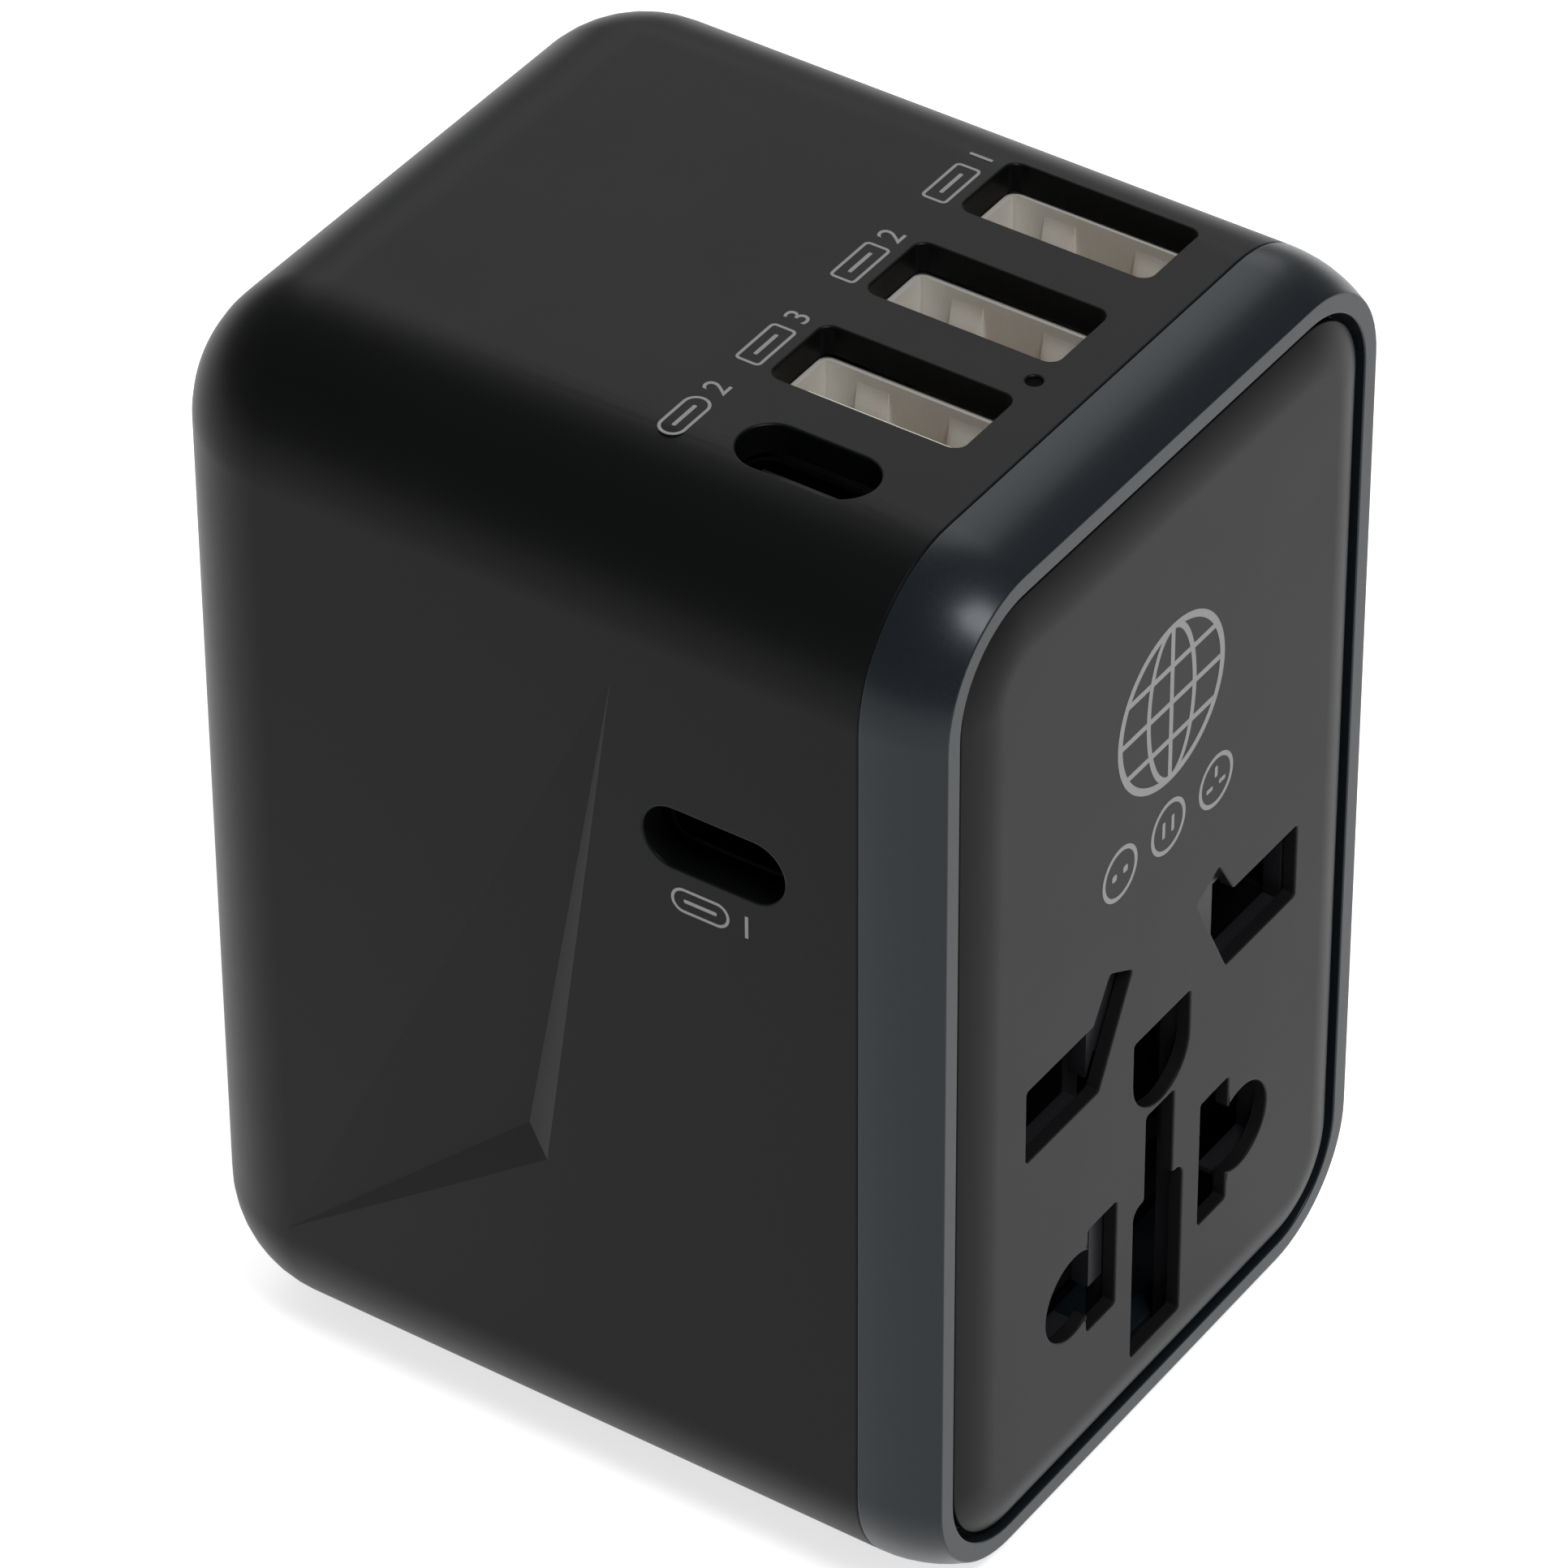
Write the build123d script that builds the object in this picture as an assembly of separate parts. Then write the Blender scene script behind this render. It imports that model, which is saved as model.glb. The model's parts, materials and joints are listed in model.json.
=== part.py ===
"""Universal travel adapter: a cube-like charger with a universal socket at the front, USB ports on the top and the
left side, and three sets of plug pins that slide out of the back.

Every piece is drawn in a bench frame: X to the right across the socket face, Y back from the plane of the bezel's
lip, and Z up from the bottom. save() then moves it back by half the depth, so that the part's origin is the middle
of the bottom and the socket faces -Y. All sizes are in millimetres. A pair such as (2.0, 5.0) is a (low, high) span.
"""
import os
from math import asin, cos, sin

from build123d import *

# Case
WIDTH, DEPTH, HEIGHT = 49.0, 56.5, 76.45
CORNER_RADIUS = 9.1          # of the case's cross-section
BACK_RADIUS = 9.0            # round the back edge
WALL = 2.0
BACK_WALL = 3.0
BEZEL_DEPTH = 5.2
LIP_INSET = 1.36             # how far the bezel draws in towards the lip
LIP_WIDTH = 1.29
PLATE_GAP = 0.55             # shadow gap round the face plate
PLATE_PROUD = 0.5            # the face plate stands in front of the lip
PLATE_SKIN = 0.9             # its thickness at the slots
PLATE_BACK = 2.0             # the rim's back face, against the bezel's ledge
PLATE_ROLL, PLATE_DROP = 3.2, 0.85   # width and fall of the soft edge
GAP = 0.05                   # general clearance round seated pieces
SLIDE_GAP = 0.15             # clearance of a sliding carriage

# Socket pattern, measured from the middle line and from the bottom
BRITISH_PIN_X, BRITISH_PIN_Z = 11.1, 34.25
BRITISH_EARTH_DROP = 22.2
EURO_HOLE = (9.5, 16.9)
EURO_HOLE_RADIUS = 3.05
AMERICAN_BLADE_X = 6.35
GROUND_HOLE_Z, GROUND_HOLE_RADIUS = 29.05, 3.15
SHUTTER_TRAVEL = 6.6

# USB ports
PORT_Y = 15.2
USB_A_X = (14.0, 4.0, -6.0)
USB_A_CUTOUT = (6.0, 13.2)
USB_A_SHELL = (6.4, 13.6)
USB_C2_X = -14.6
USB_C_CUTOUT = (4.2, 9.2)
USB_C_SHELL = (3.3, 9.0)
USB_C1_Z, USB_C1_CUTOUT = 54.2, (4.3, 9.9)
PORT_RECESS = 2.4            # from the top face down to the receptacles' rims
USB_A_TONGUE_X = (-1.95, -0.15)      # from the middle of its shell
USB_A_TONGUE_END = 73.9
USB_C2_RIM, USB_C2_TONGUE_END = 74.3, 74.25
CONTACT_RISE = 0.15          # how far the contacts stand off a tongue
BOARD_Z = (56.6, 57.8)       # port board
BOARD_BACK = 24.2
STATUS_LIGHT = (-1.0, 8.7)
STATUS_LIGHT_RADIUS = 0.5
POWER_BOARD_Z = (43.9, 45.1)
FUSE_Y, FUSE_Z, FUSE_RADIUS = 12.0, 47.6, 1.8

# Plug carriages: each is (z span, y span at rest, travel)
CARRIAGE_HALF = 16.3
US_CARRIAGE, US_TRAVEL = ((52.6, 67.0), (26.3, 32.3)), 17.5
UK_CARRIAGE, UK_TRAVEL = ((38.0, 50.7), (26.3, 31.1)), 21.2
EU_CARRIAGE, EU_TRAVEL = ((8.3, 17.0), (26.3, 32.3)), 19.5
UK_LEG_HALF, UK_LEG_BOTTOM = 5.0, 19.0
PIN_ROOT = 27.3              # pins start this far back, inside their carriage
US_PLUG_Z, UK_PLUG_Z, EU_PLUG_Z = 60.0, 46.0, 12.0
US_BLADE, US_TIP = (1.5, 6.35), 55.75
US_TWIST = 30.0
HUB_RADIUS, HUB_FLANGE_RADIUS = 2.4, 3.4
UK_PIN, UK_TIP = (6.35, 4.0), 51.15
UK_EARTH_PIN, UK_EARTH_TIP = (4.0, 8.0), 55.85
EU_PIN_X, EU_PIN_RADIUS, EU_TIP = 9.5, 2.0, 56.0
SLEEVE = 0.45                # wall of the pins' insulating sleeves
SLEEVED_END = 8.6            # bare metal at a sleeved pin's tip
PIN_GAP = 0.2                # round the pins in the plug face

# Knobs
KNOB_Z = {"us": 60.0, "uk": 41.0, "eu": 12.65}
KNOB_PAD_X, KNOB_PAD_Y = (24.6, 26.2), (13.0, 22.0)
KNOB_PAD_HEIGHT = 8.0
KNOB_NECK_Y = (15.5, 19.5)   # where the knob passes through the case's side
KNOB_ARM_X = (20.2, 21.3)    # arm inside the case, from the neck back to the stem
STEM_Y = {"us": (28.0, 30.2), "uk": (26.8, 28.8), "eu": (28.0, 30.2)}
STEM_HEIGHT = 3.0
KNOB_PRESS = 0.8              # how far a knob presses in to unlock its set of pins
STEM_END, WELL_END = 14.3, 12.1
TRACK_DEPTH = 0.8
TRACK_CORNER = 2.4

# Plug face
PLUG_FACE_Z, PLUG_FACE_HALF = (7.1, 69.35), 16.8
PLUG_FACE_Y = (54.7, DEPTH)
PLUG_FACE_LEDGE = 1.2
PLUG_FACE_CORNER = 4.0

# Inside
GUIDE_FRAME_Y = (24.4, 26.0)
SHELF_END = 51.75
SHELVES = {"top": (67.15, 68.35), "upper": (51.1, 52.3), "lower": (17.3, 18.5), "bottom": (6.95, 8.15)}
RAIL_X, RAIL_THICK = (9.0, 14.0), 0.25
BASE_Y, BASE_Z, BASE_HALF = (8.0, 24.2), (4.6, 43.3), 20.2
SCREW_X, SCREW_Z = 18.0, (7.6, 36.4)
SCREW_RADIUS, SCREW_HEAD_RADIUS = 0.9, 1.7
SCREW_HEAD_Y = (13.0, 14.3)
CONTACT_STRAP_Y = (22.6, 23.4)
CONTACT_LEAF = 0.5
CONTACT_MOUTH = 9.5


def block(x, y, z):
    """Box between three (low, high) spans."""
    spans = (x, y, z)
    middle = [(low + high) / 2 for low, high in spans]
    return Pos(*middle) * Box(*[high - low for low, high in spans])


def along_x(sketch, x):
    """Extrude a (Y, Z) sketch over a span of X."""
    return extrude(Plane.YZ.offset(x[0]) * sketch, x[1] - x[0])


def along_y(sketch, y):
    """Extrude an (X, Z) sketch over a span of Y."""
    return extrude(Plane.XZ.offset(-y[1]) * sketch, y[1] - y[0])


def along_z(sketch, z):
    """Extrude an (X, Y) sketch over a span of Z."""
    return extrude(Plane.XY.offset(z[0]) * sketch, z[1] - z[0])


def grow(span, amount):
    """A span made longer by amount at both ends."""
    return span[0] - amount, span[1] + amount


def both_sides(solid):
    """A solid and its mirror image across the middle plane, as one shape."""
    return solid + mirror(solid, about=Plane.YZ)


def polygon(points):
    """Closed polygon through points, in the sketch's own plane."""
    return make_face(Polyline(*points, close=True))


def case_outline(inset):
    """The case's rounded cross-section in X and Z, drawn in by inset."""
    outline = RectangleRounded(WIDTH - 2 * inset, HEIGHT - 2 * inset, CORNER_RADIUS - inset)
    return Pos(0, HEIGHT / 2) * outline


def case_ring(profile):
    """Sweep a (Y, distance in from the case's side) profile right round the case."""
    half = WIDTH / 2
    corners = [(0, 0, 0), (half, 0, 0), (half, 0, HEIGHT), (0, 0, HEIGHT)]
    path = FilletPolyline(*corners, radius=CORNER_RADIUS)
    return both_sides(sweep(Plane.YZ * profile, path=path))


def arc_middle(start, rise, run):
    """Middle point of an arc that leaves start along its run and has fallen by rise at its end.

    start is (run coordinate, rise coordinate); the arc runs towards smaller run coordinates."""
    radius = (run ** 2 + rise ** 2) / (2 * rise)
    half_angle = asin(run / radius) / 2
    return start[0] - radius * sin(half_angle), start[1] + radius * (1 - cos(half_angle))


def coil(radius, wire, length, turns):
    """Helical spring along +Z from the origin, with its ends inside the given length."""
    height = length - 2 * wire
    path = Helix(pitch=height / turns, height=height, radius=radius)
    section = Plane(path @ 0, z_dir=path % 0) * Circle(wire)
    return Pos(0, 0, wire) * sweep(section, path=path, is_frenet=True)


def save(name, shape):
    """Write one node, moved from the bench frame to the part's own frame."""
    export_step(Pos(0, -DEPTH / 2, 0) * shape, f"parts/{name}.step")


# Socket pattern

def british_slot(side, extra=0.0):
    """Slot for one British pin, joined to the slanting slot for an Australian blade."""
    left, right = 7.15 - extra, 15.1 + extra
    bottom, top = 31.5 - extra, 37.0 + extra
    points = [(left, bottom), (right, bottom), (right, top), (7.8 - extra / 2, top),
              (6.08 + extra / 2, 39.85 + extra), (3.63 - extra, 38.5 + extra / 2)]
    return polygon([(side * x, z) for x, z in points])


def euro_slot(side, extra=0.0):
    """Round hole for one European pin, joined to the slot for an American blade."""
    blade_z = (12.2, 22.0) if side > 0 else (12.9, 21.1)
    width, height = 3.2 + 2 * extra, blade_z[1] - blade_z[0] + 2 * extra
    blade = Pos(side * AMERICAN_BLADE_X, sum(blade_z) / 2) * Rectangle(width, height)
    return blade + Pos(side * EURO_HOLE[0], EURO_HOLE[1]) * Circle(EURO_HOLE_RADIUS + extra)


def ground_hole(extra=0.0):
    """D-shaped hole for an American ground pin."""
    radius = GROUND_HOLE_RADIUS + extra
    top = 32.25 + extra
    square = Pos(0, (GROUND_HOLE_Z + top) / 2) * Rectangle(2 * radius, top - GROUND_HOLE_Z)
    return square + Pos(0, GROUND_HOLE_Z) * Circle(radius)


def earth_slot(extra=0.0):
    """Bottle-shaped slot: wide for a British earth pin, narrow above it for an Australian one."""
    wide = Pos(0, 12.85) * RectangleRounded(5.56 + 2 * extra, 11.9 + 2 * extra, 1.2)
    foot = Pos(0, 8.2) * Rectangle(5.56 + 2 * extra, 2.6 + 2 * extra)
    neck = Pos(0, 21.2) * Rectangle(3.14 + 2 * extra, 8.6 + 2 * extra)
    return wide + foot + neck


def line_slots(extra=0.0):
    """The live and neutral slots, which the shutter closes."""
    slots = [british_slot(side, extra) + euro_slot(side, extra) for side in (-1, 1)]
    return slots[0] + slots[1]


# Case pieces

def stadium(centre, width, height):
    """Slot with round ends, longer along the sketch's second axis."""
    return Pos(*centre) * Rot(0, 0, 90) * SlotOverall(height, width)


def grip_recess():
    """Shallow three-sided recess in the left side, deepest at its inner corner."""
    face = -WIDTH / 2
    deepest = Vector(face + 1.16, 29.7, 26.3)
    rim = [Vector(face, 22.2, 64.2), Vector(face, 47.6, 9.9), Vector(face, 27.6, 25.1)]
    reach = 1.3
    a, b, c = [deepest + (point - deepest) * reach for point in rim]
    triangles = [(a, b, c), (a, b, deepest), (b, c, deepest), (c, a, deepest)]
    faces = [Face(Wire.make_polygon(corners, close=True)) for corners in triangles]
    return Solid(Shell(faces))


def plug_face_outline(inset):
    low, high = PLUG_FACE_Z
    outline = RectangleRounded(2 * (PLUG_FACE_HALF - inset), high - low - 2 * inset, PLUG_FACE_CORNER - inset)
    return Pos(0, (low + high) / 2) * outline


def knob_track(kind, travel):
    """Shallow track and through slot for one knob, in the right side."""
    z = KNOB_Z[kind]
    side = WIDTH / 2
    pad = (KNOB_PAD_Y[0] - 0.4, KNOB_PAD_Y[1] + travel + 0.4)
    neck = (KNOB_NECK_Y[0] - 0.4, KNOB_NECK_Y[1] + travel + 0.4)
    outline = RectangleRounded(pad[1] - pad[0], KNOB_PAD_HEIGHT + 0.8, TRACK_CORNER)
    track = along_x(Pos(sum(pad) / 2, z) * outline, (side - TRACK_DEPTH, side + 1))
    return track + block((side - WALL - 1, side), neck, grow((z, z), STEM_HEIGHT / 2 + 0.2))


def make_housing():
    """Cup-shaped case, open at the front."""
    outer = along_y(case_outline(0), (BEZEL_DEPTH, DEPTH))
    outer = fillet(outer.faces().sort_by(Axis.Y)[-1].edges(), BACK_RADIUS)
    cavity = along_y(case_outline(WALL), (BEZEL_DEPTH, DEPTH - BACK_WALL))
    cavity = fillet(cavity.faces().sort_by(Axis.Y)[-1].edges(), BACK_RADIUS - WALL)
    housing = outer - cavity
    roof = (HEIGHT - WALL - 1, HEIGHT + 1)
    for x in USB_A_X:
        housing -= along_z(Pos(x, PORT_Y) * RectangleRounded(*USB_A_CUTOUT, 0.8), roof)
    housing -= along_z(stadium((USB_C2_X, PORT_Y), *USB_C_CUTOUT), roof)
    housing -= along_z(Pos(*STATUS_LIGHT) * Circle(STATUS_LIGHT_RADIUS), roof)
    side_port = Pos(PORT_Y, USB_C1_Z) * SlotOverall(USB_C1_CUTOUT[1], USB_C1_CUTOUT[0])
    housing -= along_x(side_port, (-WIDTH / 2 - 1, -WIDTH / 2 + WALL + 1))
    housing -= grip_recess()
    housing -= along_y(plug_face_outline(-0.1), (PLUG_FACE_Y[0], DEPTH + 1))
    housing -= along_y(plug_face_outline(PLUG_FACE_LEDGE), (DEPTH - BACK_WALL - 1, DEPTH))
    for kind, travel in (("us", US_TRAVEL), ("uk", UK_TRAVEL), ("eu", EU_TRAVEL)):
        housing -= knob_track(kind, travel)
    return housing


def make_bezel():
    """Trim ring: convex outside, a ledge for the face plate and a spigot that enters the housing."""
    middle = arc_middle((BEZEL_DEPTH, 0), LIP_INSET, BEZEL_DEPTH)
    mouth = LIP_INSET + LIP_WIDTH
    ledge, bore = 4.7, 3.9
    spigot = WALL + 0.1
    outside = ThreePointArc((BEZEL_DEPTH, 0), middle, (0, LIP_INSET))
    inside = Polyline((0, LIP_INSET), (0, mouth), (PLATE_BACK, mouth), (PLATE_BACK, ledge), (3.6, ledge),
                      (3.6, bore), (7.7, bore), (7.7, spigot), (BEZEL_DEPTH, spigot), (BEZEL_DEPTH, 0))
    return case_ring(make_face(outside + inside))


def make_socket_plate():
    """Face plate with the socket pattern, a soft edge, a pocket for the shutter and screw bosses."""
    inset = LIP_INSET + LIP_WIDTH + PLATE_GAP
    plate = along_y(case_outline(inset), (-PLATE_PROUD, PLATE_BACK))
    flat, edge = inset + PLATE_ROLL, PLATE_DROP - PLATE_PROUD
    rise, run = arc_middle((flat, -PLATE_PROUD), PLATE_DROP, PLATE_ROLL)
    soft = ThreePointArc((-PLATE_PROUD, flat), (run, rise), (edge, inset))
    rest = Polyline((edge, inset), (edge, inset - 1), (-PLATE_PROUD - 1, inset - 1), (-PLATE_PROUD - 1, flat),
                    (-PLATE_PROUD, flat))
    plate -= case_ring(make_face(soft + rest))
    plate -= block((-16.3, 16.3), (PLATE_SKIN - PLATE_PROUD, PLATE_BACK + 1), (4.3, 57.0))
    pattern = line_slots() + ground_hole() + earth_slot()
    plate -= along_y(pattern, (-2, PLATE_BACK + 1))
    plate += block((-2.5, 2.5), (PLATE_SKIN - PLATE_PROUD - 0.2, 6.5), (56.1, 57.4))
    for x, z in screw_places():
        plate += along_y(Pos(x, z) * Circle(1.5), (1.0, BASE_Y[0] - 0.1))
        plate -= along_y(Pos(x, z) * Circle(SCREW_RADIUS + GAP), (1.2, BASE_Y[0]))
    return plate


def screw_places():
    return [(side * SCREW_X, z) for side in (-1, 1) for z in SCREW_Z]


def make_plug_face():
    """Inset back plate with the slots for the three sets of pins."""
    plate = along_y(plug_face_outline(0), PLUG_FACE_Y)
    blade = (US_BLADE[0] + 2 * PIN_GAP, US_BLADE[1] + 2 * PIN_GAP)
    cutter = (PLUG_FACE_Y[0] - 1, PLUG_FACE_Y[1] + 1)
    for side in (-1, 1):
        for step in range(7):
            turn = side * US_TWIST * step / 6
            slot = Pos(side * AMERICAN_BLADE_X, US_PLUG_Z) * Rot(0, 0, turn) * Rectangle(*blade)
            plate -= along_y(slot, cutter)
        british = Pos(side * BRITISH_PIN_X, UK_PLUG_Z) * Rectangle(UK_PIN[0] + 2 * PIN_GAP, UK_PIN[1] + 2 * PIN_GAP)
        plate -= along_y(british, cutter)
        plate -= along_y(Pos(side * EU_PIN_X, EU_PLUG_Z) * Circle(EU_PIN_RADIUS + PIN_GAP), cutter)
    earth = Rectangle(UK_EARTH_PIN[0] + 2 * PIN_GAP, UK_EARTH_PIN[1] + 2 * PIN_GAP)
    return plate - along_y(Pos(0, UK_PLUG_Z - BRITISH_EARTH_DROP) * earth, cutter)


def make_guide_frame():
    """Partition across the case, with shelves that the carriages slide between."""
    frame = along_y(case_outline(WALL + SLIDE_GAP), GUIDE_FRAME_Y)
    length = (GUIDE_FRAME_Y[0], SHELF_END)
    for z in SHELVES.values():
        frame += block((-19.5, 17.4), length, z)
    frame += block((-19.5, -18.4), length, (SHELVES["bottom"][0], SHELVES["top"][1]))
    frame -= both_sides(block((6.0, 12.0), grow(GUIDE_FRAME_Y, 1), (24.0, 32.0)))
    for z in KNOB_Z.values():
        frame -= block((KNOB_ARM_X[0] - 1.1, WIDTH / 2), grow(GUIDE_FRAME_Y, 1), grow((z, z), STEM_HEIGHT / 2 + 0.3))
    return frame


# Socket pieces

def make_shutter():
    """Shutter plate whose windows lie below the line slots until a plug's pins press its ramps."""
    face = (PLATE_SKIN - PLATE_PROUD + SLIDE_GAP, 1.75)
    leg = block((3.4, 15.9), face, (4.75, 43.6))
    plate = both_sides(leg) + block((-4, 4), face, (40.3, 43.6))
    plate -= along_y(Pos(0, -SHUTTER_TRAVEL) * line_slots(0.25), grow(face, 1))
    for span, top in (((7.0, 15.0), 37.4), ((6.2, 12.8), 20.3)):
        bottom = top - SHUTTER_TRAVEL
        plate -= both_sides(block(span, grow(face, 1), (bottom, top)))
        slope = polygon([(face[0], top + 0.3), (5.6, bottom + 0.15), (6.8, bottom + 0.15), (face[1], top + 0.3)])
        plate += both_sides(along_x(slope, span))
    return plate + block((-2.2, 2.2), (face[0], 6.2), (42.4, 43.6))


def make_shutter_spring():
    return Pos(0, 4.2, 43.65) * coil(1.4, 0.2, 12.4, 9)


def contact_wells():
    """Wells in the socket base: one per pole and one for the earth pins."""
    return line_slots(0.7) + ground_hole(0.5) + earth_slot(0.7)


def make_socket_base():
    """Moulding that holds the contacts, with ribs that keep the shutter in its pocket."""
    outline = Pos(0, sum(BASE_Z) / 2) * RectangleRounded(2 * BASE_HALF, BASE_Z[1] - BASE_Z[0], 4)
    base = along_y(outline, BASE_Y)
    base -= along_y(contact_wells(), (BASE_Y[0] - 1, CONTACT_STRAP_Y[0] - 0.1))
    strap = (CONTACT_STRAP_Y[0] - 0.2, BASE_Y[1] + 1)
    base -= both_sides(block((4.4, 15.6), strap, (12.5, 38.2)))
    base -= block((-3.3, 3.3), strap, (8.0, 32.0))
    base += both_sides(block((15.2, 15.9), (1.85, BASE_Y[0] + 0.5), (12.0, 31.0)))
    for kind in ("uk", "eu"):
        notch = grow((KNOB_Z[kind],) * 2, STEM_HEIGHT / 2 + 0.3)
        base -= block((KNOB_ARM_X[0] - KNOB_PRESS - 0.1, BASE_HALF + 1), grow(BASE_Y, 1), notch)
    for x, z in screw_places():
        base -= along_y(Pos(x, z) * Circle(SCREW_RADIUS + GAP), grow(BASE_Y, 1))
        base -= along_y(Pos(x, z) * Circle(SCREW_HEAD_RADIUS + 0.2), (SCREW_HEAD_Y[0], BASE_Y[1] + 1))
    return base


def line_contact():
    """Strap with two leaves above and below the British pin, and two beside the other pins."""
    leaf = (CONTACT_MOUTH, CONTACT_STRAP_Y[0] + 0.2)
    contact = block((4.9, 14.2), CONTACT_STRAP_Y, (13.2, 37.2))
    upper = BRITISH_PIN_Z + UK_PIN[1] / 2 + 0.1
    lower = BRITISH_PIN_Z - UK_PIN[1] / 2 - 0.1
    contact += block((8.4, 14.0), leaf, (upper, upper + CONTACT_LEAF))
    contact += block((8.4, 14.0), leaf, (lower - CONTACT_LEAF, lower))
    contact += block((4.9, 4.9 + CONTACT_LEAF), leaf, (14.0, 20.0))
    outer = EURO_HOLE[0] + 2.4
    return contact + block((outer, outer + CONTACT_LEAF), leaf, (15.0, 18.8))


def make_earth_contact():
    leaf = (CONTACT_MOUTH, CONTACT_STRAP_Y[0] + 0.2)
    contact = block((-2.9, 2.9), CONTACT_STRAP_Y, (8.6, 31.2))
    contact += both_sides(block((2.1, 2.1 + CONTACT_LEAF), leaf, (9.0, 16.4)))
    return contact + both_sides(block((2.5, 2.5 + CONTACT_LEAF), leaf, (27.6, 30.6)))


def make_socket_screws():
    """Four pan-head screws through the base into the face plate's bosses."""
    screws = []
    for x, z in screw_places():
        shank = along_y(Pos(x, z) * Circle(SCREW_RADIUS), (3.0, SCREW_HEAD_Y[0]))
        head = along_y(Pos(x, z) * Circle(SCREW_HEAD_RADIUS), SCREW_HEAD_Y)
        cross = block((x - 1.0, x + 1.0), (SCREW_HEAD_Y[1] - 0.6, SCREW_HEAD_Y[1] + 1), (z - 0.2, z + 0.2))
        screws.append(shank + head - cross)
    return Compound(screws)


# Plug carriages

def stem_well(kind):
    """Well in a carriage's right end for the knob's stem and its spring."""
    z = KNOB_Z[kind]
    return block((WELL_END, CARRIAGE_HALF + 1), grow(STEM_Y[kind], GAP), grow((z, z), STEM_HEIGHT / 2 + GAP))


def wiper_spans(carriage):
    """Where a carriage's two line wipers sit along X and Y."""
    y = (carriage[1][0] + 0.6, carriage[1][1] - 0.6)
    return [(-12.9, -10.1), (10.1, 12.9)], y


def wiper_z(kind):
    """Height of each carriage's wipers, against the rails on the nearest shelf."""
    return {"us": (52.6, 52.95), "uk": (50.35, 50.8), "eu": (16.65, 17.0)}[kind]


def wiper_recess(kind, carriage):
    spans, y = wiper_spans(carriage)
    low, high = wiper_z(kind)
    recess = [block(grow(x, GAP), grow(y, GAP), (low - 0.02, high + 0.02)) for x in spans]
    return recess[0] + recess[1]


def make_wipers(kind, carriage):
    spans, y = wiper_spans(carriage)
    return Compound([block(x, y, wiper_z(kind)) for x in spans])


def make_us_carriage():
    z, y = US_CARRIAGE
    carriage = block((-CARRIAGE_HALF, CARRIAGE_HALF), y, z)
    for side in (-1, 1):
        carriage -= along_y(Pos(side * AMERICAN_BLADE_X, US_PLUG_Z) * Circle(HUB_RADIUS + GAP), grow(y, 1))
    return carriage - stem_well("us") - wiper_recess("us", US_CARRIAGE)


def make_us_blade(side):
    """Flat blade on a round hub that turns in the carriage."""
    place = Pos(side * AMERICAN_BLADE_X, US_PLUG_Z)
    face = US_CARRIAGE[1][1]
    hub = along_y(place * Circle(HUB_RADIUS), (PIN_ROOT, face + 0.1))
    flange = along_y(place * Circle(HUB_FLANGE_RADIUS), (face + 0.1, face + 1.1))
    blade = along_y(place * Rectangle(*US_BLADE), (face + 1.1, US_TIP))
    blade = chamfer(blade.faces().sort_by(Axis.Y)[-1].edges().filter_by(Axis.Z), 0.5)
    eye = along_x(Pos(US_TIP - 3.6, US_PLUG_Z) * Circle(1.5), grow((side * AMERICAN_BLADE_X,) * 2, 2))
    return hub + flange + (blade - eye)


def make_uk_carriage():
    """T-shaped carriage: line pins in the bar, earth pin at the foot of the leg."""
    z, y = UK_CARRIAGE
    carriage = block((-CARRIAGE_HALF, CARRIAGE_HALF), y, z)
    carriage += block((-UK_LEG_HALF, UK_LEG_HALF), y, (UK_LEG_BOTTOM, z[0] + 1))
    holes = (PIN_ROOT, y[1] + 1)
    for side in (-1, 1):
        carriage -= along_y(Pos(side * BRITISH_PIN_X, UK_PLUG_Z) * Rectangle(*UK_PIN), holes)
    carriage -= along_y(Pos(0, UK_PLUG_Z - BRITISH_EARTH_DROP) * Rectangle(*UK_EARTH_PIN), holes)
    return carriage - stem_well("uk") - wiper_recess("uk", UK_CARRIAGE)


def make_uk_pin(side):
    """Line pin, necked under its sleeve."""
    place = Pos(side * BRITISH_PIN_X, UK_PLUG_Z)
    neck = Rectangle(UK_PIN[0] - 2 * SLEEVE, UK_PIN[1] - 2 * SLEEVE)
    root, sleeve_end = UK_CARRIAGE[1][1], UK_TIP - SLEEVED_END
    tip = along_y(place * Rectangle(*UK_PIN), (sleeve_end, UK_TIP))
    tip = chamfer(tip.faces().sort_by(Axis.Y)[-1].edges(), 0.7)
    return along_y(place * Rectangle(*UK_PIN), (PIN_ROOT, root)) + along_y(place * neck, (root, sleeve_end)) + tip


def make_uk_earth_pin():
    place = Pos(0, UK_PLUG_Z - BRITISH_EARTH_DROP)
    pin = along_y(place * Rectangle(*UK_EARTH_PIN), (PIN_ROOT, UK_EARTH_TIP))
    return chamfer(pin.faces().sort_by(Axis.Y)[-1].edges(), 0.8)


def make_uk_sleeves():
    outer = Rectangle(*UK_PIN)
    inner = Rectangle(UK_PIN[0] - 2 * SLEEVE, UK_PIN[1] - 2 * SLEEVE)
    span = (UK_CARRIAGE[1][1], UK_TIP - SLEEVED_END)
    return Compound([along_y(Pos(side * BRITISH_PIN_X, UK_PLUG_Z) * (outer - inner), span) for side in (-1, 1)])


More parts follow.
